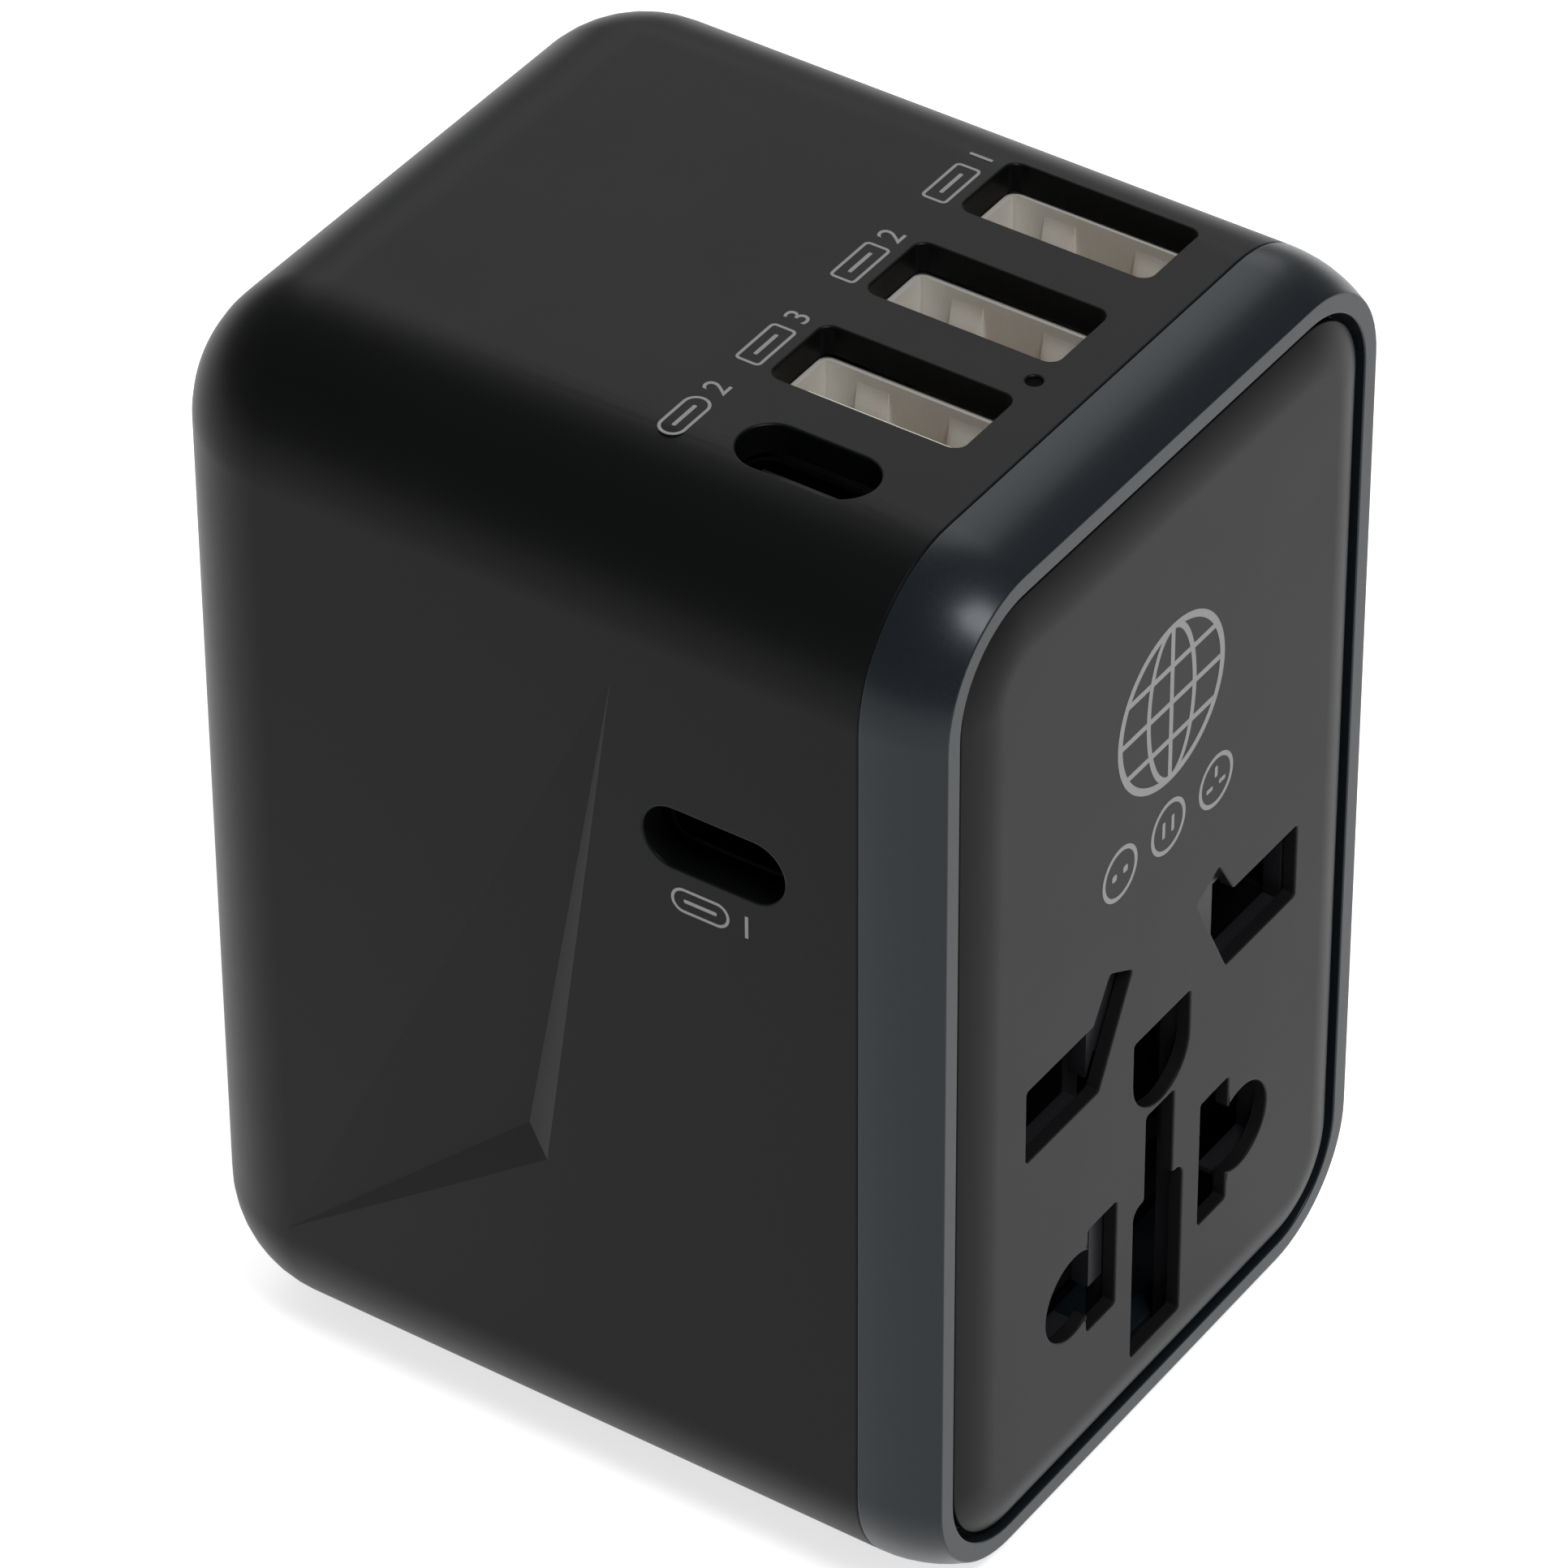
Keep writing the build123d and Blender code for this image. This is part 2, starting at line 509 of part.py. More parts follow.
def make_eu_carriage():
    z, y = EU_CARRIAGE
    carriage = block((-CARRIAGE_HALF, CARRIAGE_HALF), y, z)
    for side in (-1, 1):
        hole = Pos(side * EU_PIN_X, EU_PLUG_Z) * Circle(EU_PIN_RADIUS + 0.02)
        carriage -= along_y(hole, (PIN_ROOT, y[1] + 1))
    return carriage - stem_well("eu") - wiper_recess("eu", EU_CARRIAGE)


def make_eu_pin(side):
    """Round pin with a domed tip, necked under its sleeve."""
    place = Pos(side * EU_PIN_X, EU_PLUG_Z)
    root, sleeve_end = EU_CARRIAGE[1][1], EU_TIP - SLEEVED_END
    tip = along_y(place * Circle(EU_PIN_RADIUS), (sleeve_end, EU_TIP))
    tip = fillet(tip.faces().sort_by(Axis.Y)[-1].edges(), EU_PIN_RADIUS - 0.3)
    neck = along_y(place * Circle(EU_PIN_RADIUS - SLEEVE), (root, sleeve_end))
    return along_y(place * Circle(EU_PIN_RADIUS), (PIN_ROOT, root)) + neck + tip


def make_eu_sleeves():
    ring = Circle(EU_PIN_RADIUS) - Circle(EU_PIN_RADIUS - SLEEVE + 0.02)
    span = (EU_CARRIAGE[1][1], EU_TIP - SLEEVED_END)
    return Compound([along_y(Pos(side * EU_PIN_X, EU_PLUG_Z) * ring, span) for side in (-1, 1)])


def make_knob(kind):
    """Ribbed pad outside the case, with a neck through its side, an arm and a stem that enters the carriage."""
    z = KNOB_Z[kind]
    outline = Pos(sum(KNOB_PAD_Y) / 2, z) * RectangleRounded(KNOB_PAD_Y[1] - KNOB_PAD_Y[0], KNOB_PAD_HEIGHT, 2.0)
    pad = along_x(outline, KNOB_PAD_X)
    pad = chamfer(pad.faces().sort_by(Axis.X)[-1].edges(), 0.35)
    for step in range(5):
        y = KNOB_PAD_Y[0] + 1.75 + 1.4 * step
        pad -= block((KNOB_PAD_X[1] - 0.4, KNOB_PAD_X[1] + 1), (y - 0.3, y + 0.3), (z - 2.8, z + 2.8))
    height = grow((z, z), STEM_HEIGHT / 2)
    neck = block((KNOB_ARM_X[0], KNOB_PAD_X[0] + 0.1), KNOB_NECK_Y, height)
    arm = block(KNOB_ARM_X, (KNOB_NECK_Y[0], STEM_Y[kind][1]), height)
    return pad + neck + arm + block((STEM_END, KNOB_ARM_X[1]), STEM_Y[kind], height)


def make_knob_spring(kind):
    middle = sum(STEM_Y[kind]) / 2
    spring = coil(0.85, 0.15, STEM_END - WELL_END - 0.1, 3)
    return Pos(WELL_END + 0.05, middle, KNOB_Z[kind]) * Rot(0, 90, 0) * spring


def make_line_rail(side):
    """Three strips for one pole, one along each carriage's path."""
    x = RAIL_X if side > 0 else (-RAIL_X[1], -RAIL_X[0])
    y = (GUIDE_FRAME_Y[1], SHELF_END - 0.5)
    upper, lower = SHELVES["upper"], SHELVES["lower"]
    levels = [(upper[1], upper[1] + RAIL_THICK), (upper[0] - RAIL_THICK, upper[0]),
              (lower[0] - RAIL_THICK, lower[0])]
    return Compound([block(x, y, z) for z in levels])


def make_earth_rail():
    low = SHELVES["lower"][1]
    return block((-2.5, 2.5), (GUIDE_FRAME_Y[1], SHELF_END - 0.5), (low, low + RAIL_THICK))


# Charger pieces

def make_port_board():
    board = block((-21.0, 21.0), (BASE_Y[0], BOARD_BACK), BOARD_Z)
    for side in (-1, 1):
        board -= along_z(Pos(side * 19.3, 22.4) * Circle(1.0), grow(BOARD_Z, 1))
    return board


def make_usb_a_shell(x):
    """Folded steel tube with two sprung fingers on its right wall."""
    top = HEIGHT - PORT_RECESS
    wall = 0.35
    inner = Rectangle(USB_A_SHELL[0] - 2 * wall, USB_A_SHELL[1] - 2 * wall)
    shell = along_z(Pos(x, PORT_Y) * (Rectangle(*USB_A_SHELL) - inner), (BOARD_Z[1], top))
    right = x + USB_A_SHELL[0] / 2 - wall
    for y in (-3.2, 3.2):
        finger = polygon([(right + 0.1, top - 2.4), (right + 0.1, top - 6.0), (right - 0.5, top - 4.2)])
        finger = extrude(Plane.XZ.offset(-(PORT_Y + y + 1.0)) * finger, 2.0)
        shell += finger
    return shell


def make_usb_a_tongue(x):
    """Insulator that fills the shell's foot, with the contact tongue left of the middle."""
    foot = Rectangle(USB_A_SHELL[0] - 0.74, USB_A_SHELL[1] - 0.74)
    tongue = along_z(Pos(x, PORT_Y) * foot, (BOARD_Z[1], 61.0))
    left, right = x + USB_A_TONGUE_X[0], x + USB_A_TONGUE_X[1]
    tongue += block((left, right), (PORT_Y - 5.9, PORT_Y + 5.9), (61.0, USB_A_TONGUE_END))
    for step in (-3.5, -1.0, 1.0, 3.5):
        y = PORT_Y + step
        tongue += block((right, right + CONTACT_RISE), (y - 0.5, y + 0.5), (62.0, USB_A_TONGUE_END - 1.0))
    return tongue


def usb_c_shell_outline(offset):
    return SlotOverall(USB_C_SHELL[1] - 2 * offset, USB_C_SHELL[0] - 2 * offset)


def make_usb_c2_shell():
    ring = usb_c_shell_outline(0) - usb_c_shell_outline(0.3)
    return along_z(Pos(USB_C2_X, PORT_Y) * Rot(0, 0, 90) * ring, (BOARD_Z[1], USB_C2_RIM))


def make_usb_c2_tongue():
    place = Pos(USB_C2_X, PORT_Y) * Rot(0, 0, 90)
    foot = along_z(place * usb_c_shell_outline(0.32), (BOARD_Z[1], 67.0))
    return foot + along_z(place * Rectangle(6.7, 0.7), (67.0, USB_C2_TONGUE_END))


def make_usb_c1_shell():
    ring = usb_c_shell_outline(0) - usb_c_shell_outline(0.3)
    return along_x(Pos(PORT_Y, USB_C1_Z) * ring, (-22.3, -13.5))


def make_usb_c1_tongue():
    """Tongue along X, on an insulator that hangs from the port board."""
    place = Pos(PORT_Y, USB_C1_Z)
    foot = along_x(place * usb_c_shell_outline(0.32), (-17.0, -13.5))
    hanger = block((-13.5, -11.5), (PORT_Y - 4.4, PORT_Y + 4.4), (USB_C1_Z - 1.6, BOARD_Z[0]))
    return foot + hanger + along_x(place * Rectangle(6.7, 0.7), (-21.8, -17.0))


def make_light_pipe():
    place = Pos(*STATUS_LIGHT)
    thin = along_z(place * Circle(STATUS_LIGHT_RADIUS - 0.03), (HEIGHT - WALL - 0.3, HEIGHT - 0.15))
    return thin + along_z(place * Circle(0.55), (BOARD_Z[1] + 0.9, HEIGHT - WALL - 0.3))


def make_status_led():
    x, y = STATUS_LIGHT
    return block((x - 0.8, x + 0.8), (y - 0.4, y + 0.4), (BOARD_Z[1], BOARD_Z[1] + 0.8))


def make_power_board():
    return block((-20.5, 20.5), (8.3, 24.0), POWER_BOARD_Z)


def make_transformer_core():
    core = block((-7.0, 7.0), (11.0, 21.0), (POWER_BOARD_Z[1], 54.4))
    for x in ((-5.0, -2.0), (2.0, 5.0)):
        core -= block(x, (10, 22), (47.0, 52.6))
    return core


def make_transformer_winding():
    winding = block((-4.9, 4.9), (9.4, 22.6), (47.1, 52.5))
    winding = fillet(winding.edges().filter_by(Axis.Z), 0.8)
    return winding - block((-2.1, 2.1), (10.9, 21.1), (46, 54))


def make_capacitors():
    board = POWER_BOARD_Z[1]
    large = along_x(Pos(14.0, board + 4.2) * Circle(4.2), (9.0, 19.5))
    small = along_x(Pos(20.9, board + 2.6) * Circle(2.6), (-19.5, -9.5))
    return Compound([large, small])


def make_controllers():
    """Flat control chips under the port board."""
    places = [(14.0, 12.0), (14.0, 19.0), (3.5, 15.0)]
    return Compound([block((x - 2.5, x + 2.5), (y - 2.5, y + 2.5), (BOARD_Z[0] - 0.9, BOARD_Z[0])) for x, y in places])


def make_fuse():
    body = along_x(Pos(FUSE_Y, FUSE_Z) * Circle(FUSE_RADIUS - 0.15), (-19.0, -10.0))
    for x in ((-19.5, -17.3), (-11.7, -9.5)):
        body += along_x(Pos(FUSE_Y, FUSE_Z) * Circle(FUSE_RADIUS), x)
    return body


def make_fuse_clips():
    clips = []
    for x in ((-19.2, -17.6), (-11.4, -9.8)):
        clip = block(x, (FUSE_Y - 2.4, FUSE_Y + 2.4), (POWER_BOARD_Z[1], FUSE_Z + 1.0))
        clips.append(clip - along_x(Pos(FUSE_Y, FUSE_Z) * Circle(FUSE_RADIUS + 0.03), grow(x, 1))
                     - block(grow(x, 1), (FUSE_Y - 1.5, FUSE_Y + 1.5), (FUSE_Z, FUSE_Z + 3)))
    return Compound(clips)


def nodes():
    """Every sub-part by name."""
    pieces = {
        "housing": make_housing(),
        "bezel": make_bezel(),
        "socket_plate": make_socket_plate(),
        "plug_face": make_plug_face(),
        "guide_frame": make_guide_frame(),
        "socket_shutter": make_shutter(),
        "shutter_spring": make_shutter_spring(),
        "socket_base": make_socket_base(),
        "socket_screws": make_socket_screws(),
        "live_contact": line_contact(),
        "neutral_contact": mirror(line_contact(), about=Plane.YZ),
        "earth_contact": make_earth_contact(),
        "live_rail": make_line_rail(1),
        "neutral_rail": make_line_rail(-1),
        "earth_rail": make_earth_rail(),
        "us_carriage": make_us_carriage(),
        "us_blade_left": make_us_blade(-1),
        "us_blade_right": make_us_blade(1),
        "us_wipers": make_wipers("us", US_CARRIAGE),
        "uk_carriage": make_uk_carriage(),
        "uk_live_pin": make_uk_pin(1),
        "uk_neutral_pin": make_uk_pin(-1),
        "uk_earth_pin": make_uk_earth_pin(),
        "uk_pin_sleeves": make_uk_sleeves(),
        "uk_wipers": make_wipers("uk", UK_CARRIAGE),
        "eu_carriage": make_eu_carriage(),
        "eu_pin_left": make_eu_pin(-1),
        "eu_pin_right": make_eu_pin(1),
        "eu_pin_sleeves": make_eu_sleeves(),
        "eu_wipers": make_wipers("eu", EU_CARRIAGE),
        "port_board": make_port_board(),
        "usb_c2_shell": make_usb_c2_shell(),
        "usb_c2_tongue": make_usb_c2_tongue(),
        "usb_c1_shell": make_usb_c1_shell(),
        "usb_c1_tongue": make_usb_c1_tongue(),
        "light_pipe": make_light_pipe(),
        "status_led": make_status_led(),
        "power_board": make_power_board(),
        "transformer_core": make_transformer_core(),
        "transformer_winding": make_transformer_winding(),
        "filter_capacitors": make_capacitors(),
        "charge_controllers": make_controllers(),
        "fuse": make_fuse(),
        "fuse_clips": make_fuse_clips(),
    }
    for number, x in enumerate(USB_A_X, start=1):
        pieces[f"usb_a{number}_shell"] = make_usb_a_shell(x)
        pieces[f"usb_a{number}_tongue"] = make_usb_a_tongue(x)
    for kind in KNOB_Z:
        pieces[f"{kind}_knob"] = make_knob(kind)
        pieces[f"{kind}_knob_spring"] = make_knob_spring(kind)
    return pieces


os.makedirs("parts", exist_ok=True)
for node_name, node_shape in nodes().items():
    save(node_name, node_shape)
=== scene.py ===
"""Universal travel adapter: the looks of every piece, built round the fixed frame.

Lengths are metres, X runs to the right across the socket face, Y back from it and Z up. A surface's own two
coordinates are called u and v, and its depth is measured into the piece.
"""
import json
import math
from collections import namedtuple

import bmesh
import bpy
import numpy as np
from bpy.props import FloatProperty, FloatVectorProperty, IntProperty, PointerProperty
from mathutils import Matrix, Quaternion, Vector
from mathutils.geometry import delaunay_2d_cdt


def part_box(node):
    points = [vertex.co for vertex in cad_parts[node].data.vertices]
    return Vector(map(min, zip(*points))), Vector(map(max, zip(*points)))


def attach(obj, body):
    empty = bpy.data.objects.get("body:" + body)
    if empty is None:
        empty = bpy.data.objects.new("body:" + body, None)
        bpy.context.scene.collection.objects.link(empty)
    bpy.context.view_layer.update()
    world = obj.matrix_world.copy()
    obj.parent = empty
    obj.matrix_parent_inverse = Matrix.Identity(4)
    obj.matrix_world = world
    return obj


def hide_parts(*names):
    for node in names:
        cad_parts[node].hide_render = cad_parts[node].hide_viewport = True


bl_info = {
    "name": "Universal travel adapter",
    "version": (1, 0, 0),
    "blender": (4, 5, 0),
    "location": "3D View > Sidebar > Adapter",
    "description": "Builds a travel adapter's case, socket face, USB ports, knobs and plug pins",
    "category": "Object",
}

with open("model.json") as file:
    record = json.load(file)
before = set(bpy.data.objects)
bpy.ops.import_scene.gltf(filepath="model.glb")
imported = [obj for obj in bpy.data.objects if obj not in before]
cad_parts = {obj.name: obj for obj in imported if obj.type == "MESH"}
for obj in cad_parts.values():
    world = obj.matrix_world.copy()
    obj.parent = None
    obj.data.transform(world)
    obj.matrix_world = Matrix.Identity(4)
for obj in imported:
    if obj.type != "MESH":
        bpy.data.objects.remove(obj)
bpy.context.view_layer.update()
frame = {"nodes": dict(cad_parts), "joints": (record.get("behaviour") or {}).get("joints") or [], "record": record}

MM = 0.001
HOUSING, BEZEL, PLATE, PLUG_FACE = (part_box(n) for n in ("housing", "bezel", "socket_plate", "plug_face"))
HALF_WIDTH, _, HEIGHT = HOUSING[1]
BACK_Y = PLUG_FACE[1].y           # the plug face's outside, flush with the back
SEAM_Y = HOUSING[0].y            # where the bezel meets the housing
LIP_Y = BEZEL[0].y               # front of the bezel
PLATE_Y = PLATE[0].y             # front of the face plate
KINDS = ("us", "uk", "eu")
USB_A = ("usb_a1", "usb_a2", "usb_a3")
CORNER_STEPS = 17                # points on each rounded corner of the case
OUTER_STRIPS, INNER_STRIPS = 2, 3    # strips of the roundings that a flat side takes in for its cut-outs
TRACK_DEPTH = 0.8 * MM           # of a knob's track in the right side
PLUG_GAP, PLUG_LEDGE = 0.1 * MM, 1.2 * MM    # round the plug face, and the width of the ledge under it
PLATE_BACK = 2.0 * MM            # back of the face plate's rim, behind the bezel's lip
INK_FILM, INK_ROOT = 0.012 * MM, 0.03 * MM   # ink above the surface, and how far its solid reaches under it
STEEL = 0.35 * MM                # sheet that the USB-A shells are folded from
FINGER_RISE = 0.5 * MM           # of a shell's sprung finger
METAL_GRAIN = 0.05 * MM          # spacing of a rolled metal's lines
FLAT = "flat"                    # marks a part whose faces aren't smoothed

Side = namedtuple("Side", "origin u v inward")
X_AXIS, Y_AXIS, Z_AXIS = np.eye(3)
TOP = Side(HEIGHT * Z_AXIS, X_AXIS, Y_AXIS, -Z_AXIS)
BOTTOM = Side(0 * Z_AXIS, X_AXIS, Y_AXIS, Z_AXIS)
LEFT = Side(-HALF_WIDTH * X_AXIS, Y_AXIS, Z_AXIS, X_AXIS)
RIGHT = Side(HALF_WIDTH * X_AXIS, Y_AXIS, Z_AXIS, -X_AXIS)
FRONT = Side(PLATE_Y * Y_AXIS, X_AXIS, Z_AXIS, Y_AXIS)
BACK = Side(BACK_Y * Y_AXIS, X_AXIS, Z_AXIS, -Y_AXIS)


def linear(hex_colour):
    """Linear red, green, blue and alpha of an sRGB hex colour."""
    channels = np.array([int(hex_colour[i:i + 2], 16) / 255 for i in (0, 2, 4)])
    curve = np.where(channels <= 0.04045, channels / 12.92, ((channels + 0.055) / 1.055) ** 2.4)
    return (*curve.tolist(), 1.0)


def length(name, description, default):
    return FloatProperty(name=name, description=description, default=default, unit="LENGTH", precision=5)


def colour(name, description, hex_colour):
    return FloatVectorProperty(name=name, description=description, default=linear(hex_colour), size=4,
                               subtype="COLOR", min=0.0, max=1.0)


# Settings

class CaseSettings(bpy.types.PropertyGroup):
    corner_radius: length("Corner radius", "Rounding of the case's cross-section", 9.1 * MM)
    back_radius: length("Back radius", "Rounding round the back edge", 9.0 * MM)
    wall: length("Wall", "Thickness of the housing's sides", 2.0 * MM)
    back_wall: length("Back wall", "Thickness of the housing's back", 3.0 * MM)
    edge: length("Edge", "Rounding of a moulded edge round a cut-out", 0.15 * MM)
    lip_inset: length("Lip inset", "How far the bezel draws in towards its lip", 1.36 * MM)
    lip_width: length("Lip width", "Width of the flat lip round the face plate", 1.29 * MM)
    case_colour: colour("Case", "Moulded case", "0A0B0C")
    bezel_colour: colour("Bezel", "Painted trim ring", "1A2025")


class SocketSettings(bpy.types.PropertyGroup):
    gap: length("Shadow gap", "Gap between the bezel's lip and the face plate", 0.55 * MM)
    roll: length("Soft edge width", "Width of the plate's soft edge", 3.2 * MM)
    drop: length("Soft edge fall", "How far the soft edge falls back", 0.85 * MM)
    skin: length("Skin", "Thickness of the plate at its slots", 0.9 * MM)
    plate_colour: colour("Face plate", "Moulded face plate", "151516")
    print_colour: colour("Print", "Pad-printed marks", "868686")


class PortSettings(bpy.types.PropertyGroup):
    a_width: length("USB-A cut-out width", "Across the cut-out", 6.0 * MM)
    a_length: length("USB-A cut-out length", "Along the cut-out", 13.2 * MM)
    c_width: length("USB-C cut-out width", "Across the cut-out in the top", 4.2 * MM)
    c_length: length("USB-C cut-out length", "Along the cut-out in the top", 9.2 * MM)
    side_width: length("Side cut-out width", "Across the USB-C cut-out in the left side", 4.3 * MM)
    side_length: length("Side cut-out length", "Along the USB-C cut-out in the left side", 9.9 * MM)
    light_radius: length("Status light radius", "Radius of the status light's hole", 0.5 * MM)
    gold_colour: colour("Contacts", "Gold-plated contacts", "C79A4B")


class StageSettings(bpy.types.PropertyGroup):
    azimuth: FloatProperty(name="Azimuth", description="Camera's bearing round the adapter",
                           default=math.radians(-55.73), subtype="ANGLE")
    elevation: FloatProperty(name="Elevation", description="Camera's height above the horizon",
                             default=math.radians(38.60), subtype="ANGLE")
    roll: FloatProperty(name="Roll", description="Camera's turn about its own axis",
                        default=math.radians(0.30), subtype="ANGLE")
    distance: length("Distance", "Camera's distance from the point it aims at", 586 * MM)
    lens: FloatProperty(name="Lens", description="Focal length in millimetres", default=216.4, min=1.0)
    aim: FloatVectorProperty(name="Aim", description="Point that the camera and the lights face", unit="LENGTH",
                             size=3, default=(7.7 * MM, LIP_Y + 32.175 * MM, 30.6 * MM), precision=5)
    floor_glow: FloatProperty(name="Floor glow", description="Light given off by the floor", default=0.7)
    back_power: FloatProperty(name="Back light", description="Power of the softbox behind", default=7.0,
                              unit="POWER")
    key_power: FloatProperty(name="Key light", description="Power of the softbox in front", default=3.8,
                             unit="POWER")
    room_glow: FloatProperty(name="Room", description="Brightness of the surroundings", default=0.24)
    floor_colour: colour("Floor", "Pale floor", "F4F4F4")


class AdapterSettings(bpy.types.PropertyGroup):
    case: PointerProperty(type=CaseSettings)
    socket: PointerProperty(type=SocketSettings)
    ports: PointerProperty(type=PortSettings)
    stage: PointerProperty(type=StageSettings)


# Outlines, as points and outward normals in a surface's own two coordinates

def rounded(corners, radius, steps=7):
    """Closed outline through corners in anticlockwise order, each rounded by an arc of its own radius.

    The arc at a corner starts radius * tan(turn / 2) before it. Its centre is off that start by the radius along
    the side's normal, and its points are the centre plus the radius times that normal, turned evenly from the
    arriving side to the leaving side."""
    corners = np.asarray(corners, float)
    radius = np.broadcast_to(radius, len(corners)).astype(float)[:, None]
    arriving = corners - np.roll(corners, 1, axis=0)
    arriving /= np.linalg.norm(arriving, axis=1, keepdims=True)
    leaving = np.roll(arriving, -1, axis=0)
    cross = arriving[:, 0] * leaving[:, 1] - arriving[:, 1] * leaving[:, 0]
    turn = np.arctan2(cross, np.sum(arriving * leaving, axis=1))[:, None]
    normal = np.stack([arriving[:, 1], -arriving[:, 0]], axis=1)
    signed = radius * np.sign(turn)
    centre = corners - arriving * radius * np.tan(np.abs(turn) / 2) - normal * signed
    angle = turn * np.linspace(0, 1, steps)
    turned = np.stack([np.cos(angle) * normal[:, :1] - np.sin(angle) * normal[:, 1:],
                       np.sin(angle) * normal[:, :1] + np.cos(angle) * normal[:, 1:]], axis=2)
    points = centre[:, None] + turned * signed[:, None]
    return points.reshape(-1, 2), turned.reshape(-1, 2)


def rectangle(centre, width, height):
    """Corners of an upright rectangle, anticlockwise."""
    u, v = centre
    return [(u - width / 2, v - height / 2), (u + width / 2, v - height / 2),
            (u + width / 2, v + height / 2), (u - width / 2, v + height / 2)]


def capsule(centre, width, height):
    """Rectangle whose shorter sides are half circles; equal sides make a circle."""
    return rounded(rectangle(centre, width, height), 0.4999 * min(width, height), 13)


def arc_corners(centre, radius, start, end, count):
    """Corners of the tangent polygon of an arc: each lies at radius / cos(half its share) from the centre."""
    share = (end - start) / count
    angle = start + share * (np.arange(count) + 0.5)
    reach = radius / math.cos(share / 2)
    return np.stack([centre[0] + reach * np.cos(angle), centre[1] + reach * np.sin(angle)], axis=1)


def round_ramp(radius, steps=4):
    """Quarter-round profile into a cut-out: offset radius * (1 - sin), depth radius * (1 - cos)."""
    angle = np.linspace(0, math.pi / 2, steps)
    return np.stack([radius * (1 - np.sin(angle)), radius * (1 - np.cos(angle))], axis=1)


# Surfaces, each as points and faces

def place(side, points, depth=0.0):
    """Points on a side of the case, sunk to a depth."""
    return side.origin + points[:, :1] * side.u + points[:, 1:] * side.v + depth * side.inward


def loft(rows, keep=None, closed=True):
    """Quads between neighbouring rows of a (rows, columns, 3) grid; keep says which columns are filled."""
    rows = np.asarray(rows)
    count, columns = rows.shape[:2]
    index = np.arange(count * columns).reshape(count, columns)
    following = np.roll(index, -1, axis=1)
    quads = np.stack([index[:-1], following[:-1], following[1:], index[1:]], axis=-1)
    if not closed:
        quads = quads[:, :-1]
    if keep is not None:
        quads = quads[:, keep]
    return rows.reshape(-1, 3), quads.reshape(-1, 4)


def tube(side, outline, profile):
    """A profile carried round an outline: each of its (offset, depth) pairs is the outline moved out along its
    normals by the offset, at that depth."""
    points, normals = outline
    return loft([place(side, points + offset * normals, depth) for offset, depth in profile])


def sheet(side, bands, holes=(), depth=0.0, fall=None):
    """Region of one or more neighbouring loops less the holes: Delaunay triangles that keep every point of the
    loops. fall gives the extra depth of a surface that isn't flat, as a function of its points."""
    loops = [np.asarray(loop) for loop in (*bands, *holes)]
    ends = np.cumsum([len(loop) for loop in loops])
    borders = [list(range(end - len(loop), end)) for loop, end in zip(loops, ends)]
    whole_hull = 0
    corners, _, triangles, _, _, inside = delaunay_2d_cdt((np.concatenate(loops) / MM).tolist(), [], borders,
                                                          whole_hull, 1e-5)
    kept = [face for face, ids in zip(triangles, inside) if ids and max(ids) < len(bands)]
    points = np.array(corners) * MM
    return place(side, points, depth if fall is None else depth + fall(points)[:, None]), np.array(kept)


def grid(u, v, shape):
    """Surface of a function of two parameters on a grid; shape gives x, y and z from the arrays u and v."""
    u, v = np.meshgrid(u, v, indexing="ij")
    return loft(np.stack(np.broadcast_arrays(*shape(u, v)), axis=-1), closed=False)


def build(name, parts, material, replaces=(), crisp=35.0):
    """One piece from its surfaces: join them, close their seams, turn every face outwards, keep flat areas flat.

    Edges sharper than crisp degrees stay sharp, and a part marked FLAT is not smoothed."""
    starts = np.cumsum([0] + [len(part[0]) for part in parts[:-1]])
    points = np.concatenate([part[0] for part in parts])
    faces = [face for start, part in zip(starts, parts) for face in (part[1] + start).tolist()]
    smooth = np.concatenate([np.full(len(part[1]), part[-1] is not FLAT) for part in parts])
    mesh = bpy.data.meshes.new(name)
    mesh.from_pydata(points.tolist(), [], faces)
    mesh.polygons.foreach_set("use_smooth", smooth)
    shape = bmesh.new()
    shape.from_mesh(mesh)
    bmesh.ops.remove_doubles(shape, verts=shape.verts, dist=0.002 * MM)
    bmesh.ops.dissolve_degenerate(shape, dist=0.0005 * MM, edges=shape.edges)
    bmesh.ops.recalc_face_normals(shape, faces=shape.faces)
    shape.to_mesh(mesh)
    shape.free()
    mesh.set_sharp_from_angle(angle=math.radians(crisp))
    mesh.materials.append(material)
    piece = bpy.data.objects.new(name, mesh)
    bpy.context.scene.collection.objects.link(piece)
    shading = piece.modifiers.new("Flat areas stay flat", "WEIGHTED_NORMAL")
    shading.keep_sharp = True
    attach(piece, "case")
    if replaces:
        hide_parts(*replaces)


def bar(side, outline, near, far, edge):
    """Closed bar off a side, flat at depths near and far, with a quarter-round of radius edge round the near end."""
    points, normals = outline
    rim = round_ramp(edge) * (1, 1) + (-edge, near)
    return [sheet(side, [points - edge * normals], depth=near),
            tube(side, outline, [*rim, (0, far)]),
            sheet(side, [points], depth=far)]


def band(side, outline, near, far, thickness):
    """Closed tube wall: the outline carried from depth near to far, and thickness thick inwards."""
    return tube(side, outline, [(0, near), (0, far), (-thickness, far), (-thickness, near), (0, near)])


# Materials

def add(tree, kind, inputs=(), **settings):
    """Add one node with its settings; an input's value is set, or linked where it is another node's output."""
    node = tree.nodes.new(kind)
    for name, value in settings.items():
        setattr(node, name, value)
    for name, value in dict(inputs).items():
        if isinstance(value, bpy.types.NodeSocket):
            tree.links.new(value, node.inputs[name])
        else:
            node.inputs[name].default_value = value
    return node


